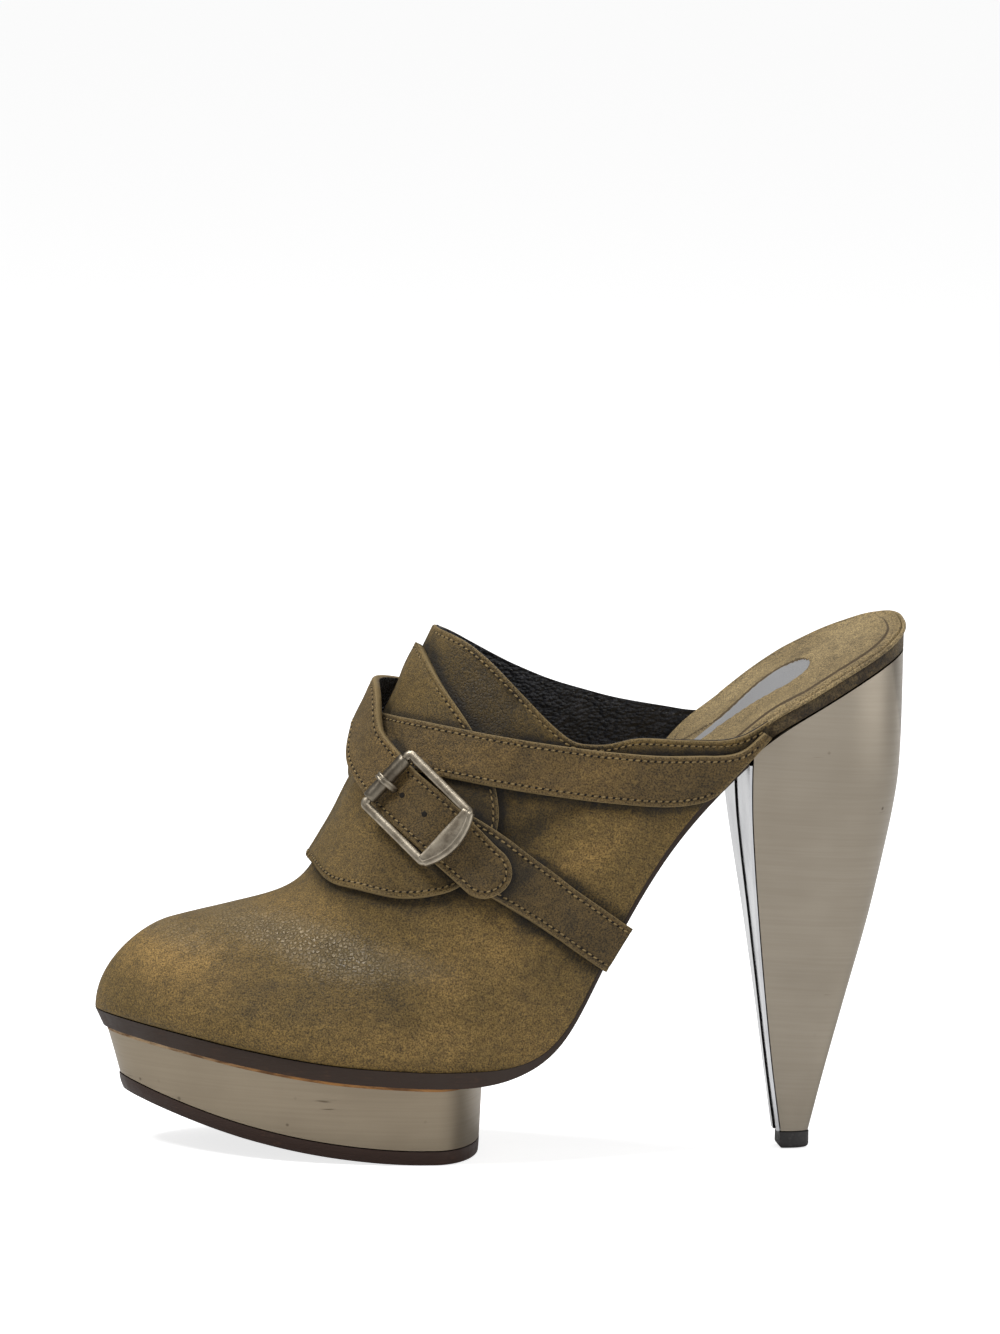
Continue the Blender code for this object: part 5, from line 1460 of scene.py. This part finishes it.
parts.append(end_plate(half, 0.0, BAR_HIGH, 0.0))
parts.append(end_plate(half + BAR / 2 - END_STEP, END_STEP, END_RAISE, BAR_HIGH / 2 - END_RAISE_HIGH))
drop = -CENTRE_BAR_DROP
bar_line = [(0, -half + CENTRE_BAR_BEND * i, drop * i / 2) for i in range(3)]
bar_line += [(0, 0, drop)] + [(0, -across, height) for _, across, height in reversed(bar_line)]
parts.append(bar_mesh(in_buckle(bar_line), CENTRE_BAR, CENTRE_BAR, 2, np.array(buckle_along), 14))


def joined(parts):
    """One list of points and faces from several closed shells."""
    places, faces, start = [], [], 0
    for points, cells in parts:
        places.append(points)
        faces += [[start + corner for corner in cell] for cell in cells]
        start += len(points)
    return np.concatenate(places), faces


pewter_finish, shader = new_finish("antique pewter", Metallic=1.0)
space = object_space(shader.id_data)
cast, handled = space.cloud(900, 4.0, 0.7), space.cloud(210, 3.0)
edge_glint = put(shader.id_data, "ShaderNodeNewGeometry", None, "Pointiness")
rub = edge_glint.step(0.48, 0.56, 0.0, 0.55) + handled.step(0.35, 0.7, 0.0, 0.45)
pewter = rub.mix(colour(112, 101, 86), colour(204, 193, 173))
pewter = cast.step(0.54, 0.7, 0.0, 0.42).mix(pewter, colour(58, 50, 40))
# darker where marked: the sleeve somewhat, and the prong's stub as painted shadow
pewter = marked(shader.id_data, "darkening").mix(pewter, colour(50, 44, 37))
feed(shader, Base_Color=pewter, Roughness=cast.step(0.3, 0.7, 0.34, 0.5))
bumped(shader, cast, 0.00009, 0.6)

points, faces = joined(parts)
buckle_frame = add_piece("buckle_casting", points, faces, [pewter_finish], {"darkening": np.zeros(len(points))})
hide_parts("buckle_frame")

roller_half, roller_round = half - BAR / 2 - ROLLER_PLAY, ROLLER_OUTER / 2
turns = 2 * np.pi * np.arange(32) / 32
profile = [
    (-roller_half, ROLLER_BORE / 2), (-roller_half, roller_round - SLEEVE_EDGE),
    (-roller_half + SLEEVE_EDGE, roller_round)]
profile += [(c, roller_round) for c in np.linspace(-roller_half + SLEEVE_END, roller_half - SLEEVE_END, 9)]
profile += [(-c, r) for c, r in reversed(profile[:3])]
ring_places = [[(-reach + r * math.cos(t), c, r * math.sin(t)) for c, r in profile] for t in turns]
size = len(profile)
faces = []
for i in range(len(turns)):
    a, b = i * size, (i + 1) % len(turns) * size
    faces += [[a + j, b + j, b + (j + 1) % size, a + (j + 1) % size] for j in range(size)]
points = in_buckle(np.array(ring_places).reshape(-1, 3))
sleeve_marks = {"darkening": np.full(len(points), SLEEVE_DARKENING)}
roller = add_piece("buckle_sleeve", points, faces, [pewter_finish], sleeve_marks, sharp=50)
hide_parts("buckle_roller")

round_roller = roller_round + PRONG_CLEAR + RING_WIDE / 2
prong_line = [(a, drop + over_bar) for a, over_bar in PRONG_RISE]
for angle in np.radians(PRONG_CURL):
    prong_line.append((-reach + round_roller * math.cos(angle), round_roller * math.sin(angle)))
prong_line = np.array(prong_line)
run = run_of(prong_line)
prong_s = np.linspace(0, run[-1], 70)
prong_a, prong_z = [curve_through(run, values)(prong_s) for values in prong_line.T]
prong_path = np.column_stack([prong_a, 0 * prong_s + slot_across, prong_z])
on_sleeve = prong_s > run[len(PRONG_RISE) - 1]
thick = np.where(on_sleeve, PRONG_THIN, PRONG)
prong_parts = [bar_mesh(in_buckle(prong_path), thick, PRONG, 2.2, np.array(buckle_side), PRONG_SIDES)]
for shift in (-RING_APART, RING_APART):
    ring = prong_path[on_sleeve] + np.array([0, shift, 0])
    prong_parts.append(bar_mesh(in_buckle(ring), RING_WIDE, RING_WIDE, 2, np.array(buckle_side), 12))
points, faces = joined(prong_parts)
# painted shadow on the prong's stub below the sleeve, and a little darkening on the rest of the prong
prong_darkening = np.full(len(points), SLEEVE_DARKENING / 2)
prong_darkening[:PRONG_SIDES * np.count_nonzero(~on_sleeve)] = STUB_SHADOW
prong = add_piece("buckle_prong_bent", points, faces, [pewter_finish], {"darkening": prong_darkening})
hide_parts("buckle_prong")

# the punched holes in the front strap are dark ovals of painted shade too
PUNCHED_AT, PUNCHED_ACROSS, PUNCHED_DOWN = np.array([-5.1, 2.0]), 0.45, 0.05
PUNCHED_SIZE = (1.7, 1.7, 0.4, 0.0)
punched_s = buckle_run + PUNCHED_AT
punched, up = front_line.place(punched_s, PUNCHED_ACROSS, STRAP_THICK - PUNCHED_DOWN)
ahead = front_line.ahead(punched_s)
punched_holes = laid_row("punched_holes", punched, ahead, up, *PUNCHED_SIZE, needle_hole)


# Studio: a plain white sweep under five soft lights, two cloths above and three cards round the shoe, with
# the camera far off on a long lens, a little above the shoe and turned a little towards its toe.
CAMERA_TURN, CAMERA_HEIGHT, CAMERA_ROLL = math.radians(-6.5), math.radians(7.5), math.radians(1.3)
CAMERA_FAR, AIM_HEIGHT, FRAME_UP, LENS, SENSOR = 3.0, 0.070, 0.0563, 307.7, 36.0
FLOOR_HALF, FLOOR_Z, FLOOR_GLOW, ROOM_GREY = 8.0, -0.0002, 0.78, 0.22
flat_back = math.cos(CAMERA_HEIGHT)
back = Vector((math.sin(CAMERA_TURN) * flat_back, -math.cos(CAMERA_TURN) * flat_back,
               math.sin(CAMERA_HEIGHT)))
right = Vector((math.cos(CAMERA_TURN), math.sin(CAMERA_TURN), 0.0))
up = back.cross(right)
right, up = (right * math.cos(CAMERA_ROLL) + up * math.sin(CAMERA_ROLL),
             up * math.cos(CAMERA_ROLL) - right * math.sin(CAMERA_ROLL))
aim = Vector((0, 0, AIM_HEIGHT))
eye = aim + back * CAMERA_FAR
sight = (eye - aim - up * FRAME_UP).normalized()
upright = (up - sight * up.dot(sight)).normalized()
camera_data = bpy.data.cameras.new("studio camera")
camera_data.lens, camera_data.sensor_width = LENS, SENSOR
camera_data.clip_start, camera_data.clip_end = 0.1, 30.0
camera = bpy.data.objects.new("studio_camera", camera_data)
bpy.context.scene.collection.objects.link(camera)
turn = Matrix((upright.cross(sight), upright, sight)).transposed().to_4x4()
camera.matrix_world = Matrix.Translation(eye) @ turn
bpy.context.scene.camera = camera

floor_mesh = bpy.data.meshes.new("studio floor")
corners = [(-1, -1), (1, -1), (1, 1), (-1, 1)]
floor_mesh.from_pydata([(x * FLOOR_HALF, y * FLOOR_HALF, FLOOR_Z) for x, y in corners], [], [(0, 1, 2, 3)])
floor_finish, shader = new_finish(
    "white sweep", Base_Color=(0.8, 0.8, 0.8, 1), Roughness=0.9, Emission_Color=(1, 1, 1, 1))
seen = put(shader.id_data, "ShaderNodeLightPath", None, "Is Camera Ray")
feed(shader, Emission_Strength=seen * FLOOR_GLOW)
floor_mesh.materials.append(floor_finish)
floor = bpy.data.objects.new("studio_floor", floor_mesh)
bpy.context.scene.collection.objects.link(floor)


def soft_light(name, place, size, watts):
    lamp = bpy.data.lights.new(name, "AREA")
    lamp.shape, lamp.size, lamp.energy = "DISK", size, watts
    held = bpy.data.objects.new(name, lamp)
    bpy.context.scene.collection.objects.link(held)
    held.location = place
    held.rotation_mode = "QUATERNION"
    held.rotation_quaternion = (Vector(place) - aim).to_track_quat("Z", "Y")


soft_light("window_cloth", (-0.85, -0.5, 1.4), 0.5, 13.0)
soft_light("top_cloth", (-0.15, 0.3, 1.6), 0.6, 11.0)
soft_light("right_card", (1.5, -0.5, 0.4), 1.2, 6.0)
soft_light("front_card", (0.9, -1.9, 0.3), 1.2, 4.0)
soft_light("back_card", (1.2, 1.5, 0.35), 1.2, 7.0)

sky = bpy.data.worlds.new("studio room")
bpy.context.scene.world = sky
sky.use_nodes = True
seen = put(sky.node_tree, "ShaderNodeLightPath", None, "Is Camera Ray")
room = sky.node_tree.nodes["Background"]
join(seen.mix((ROOM_GREY, ROOM_GREY, ROOM_GREY, 1), (1.0, 1.0, 1.0, 1)), room.inputs["Color"])
bpy.context.scene.view_settings.view_transform = "Standard"

bpy.context.view_layer.update()
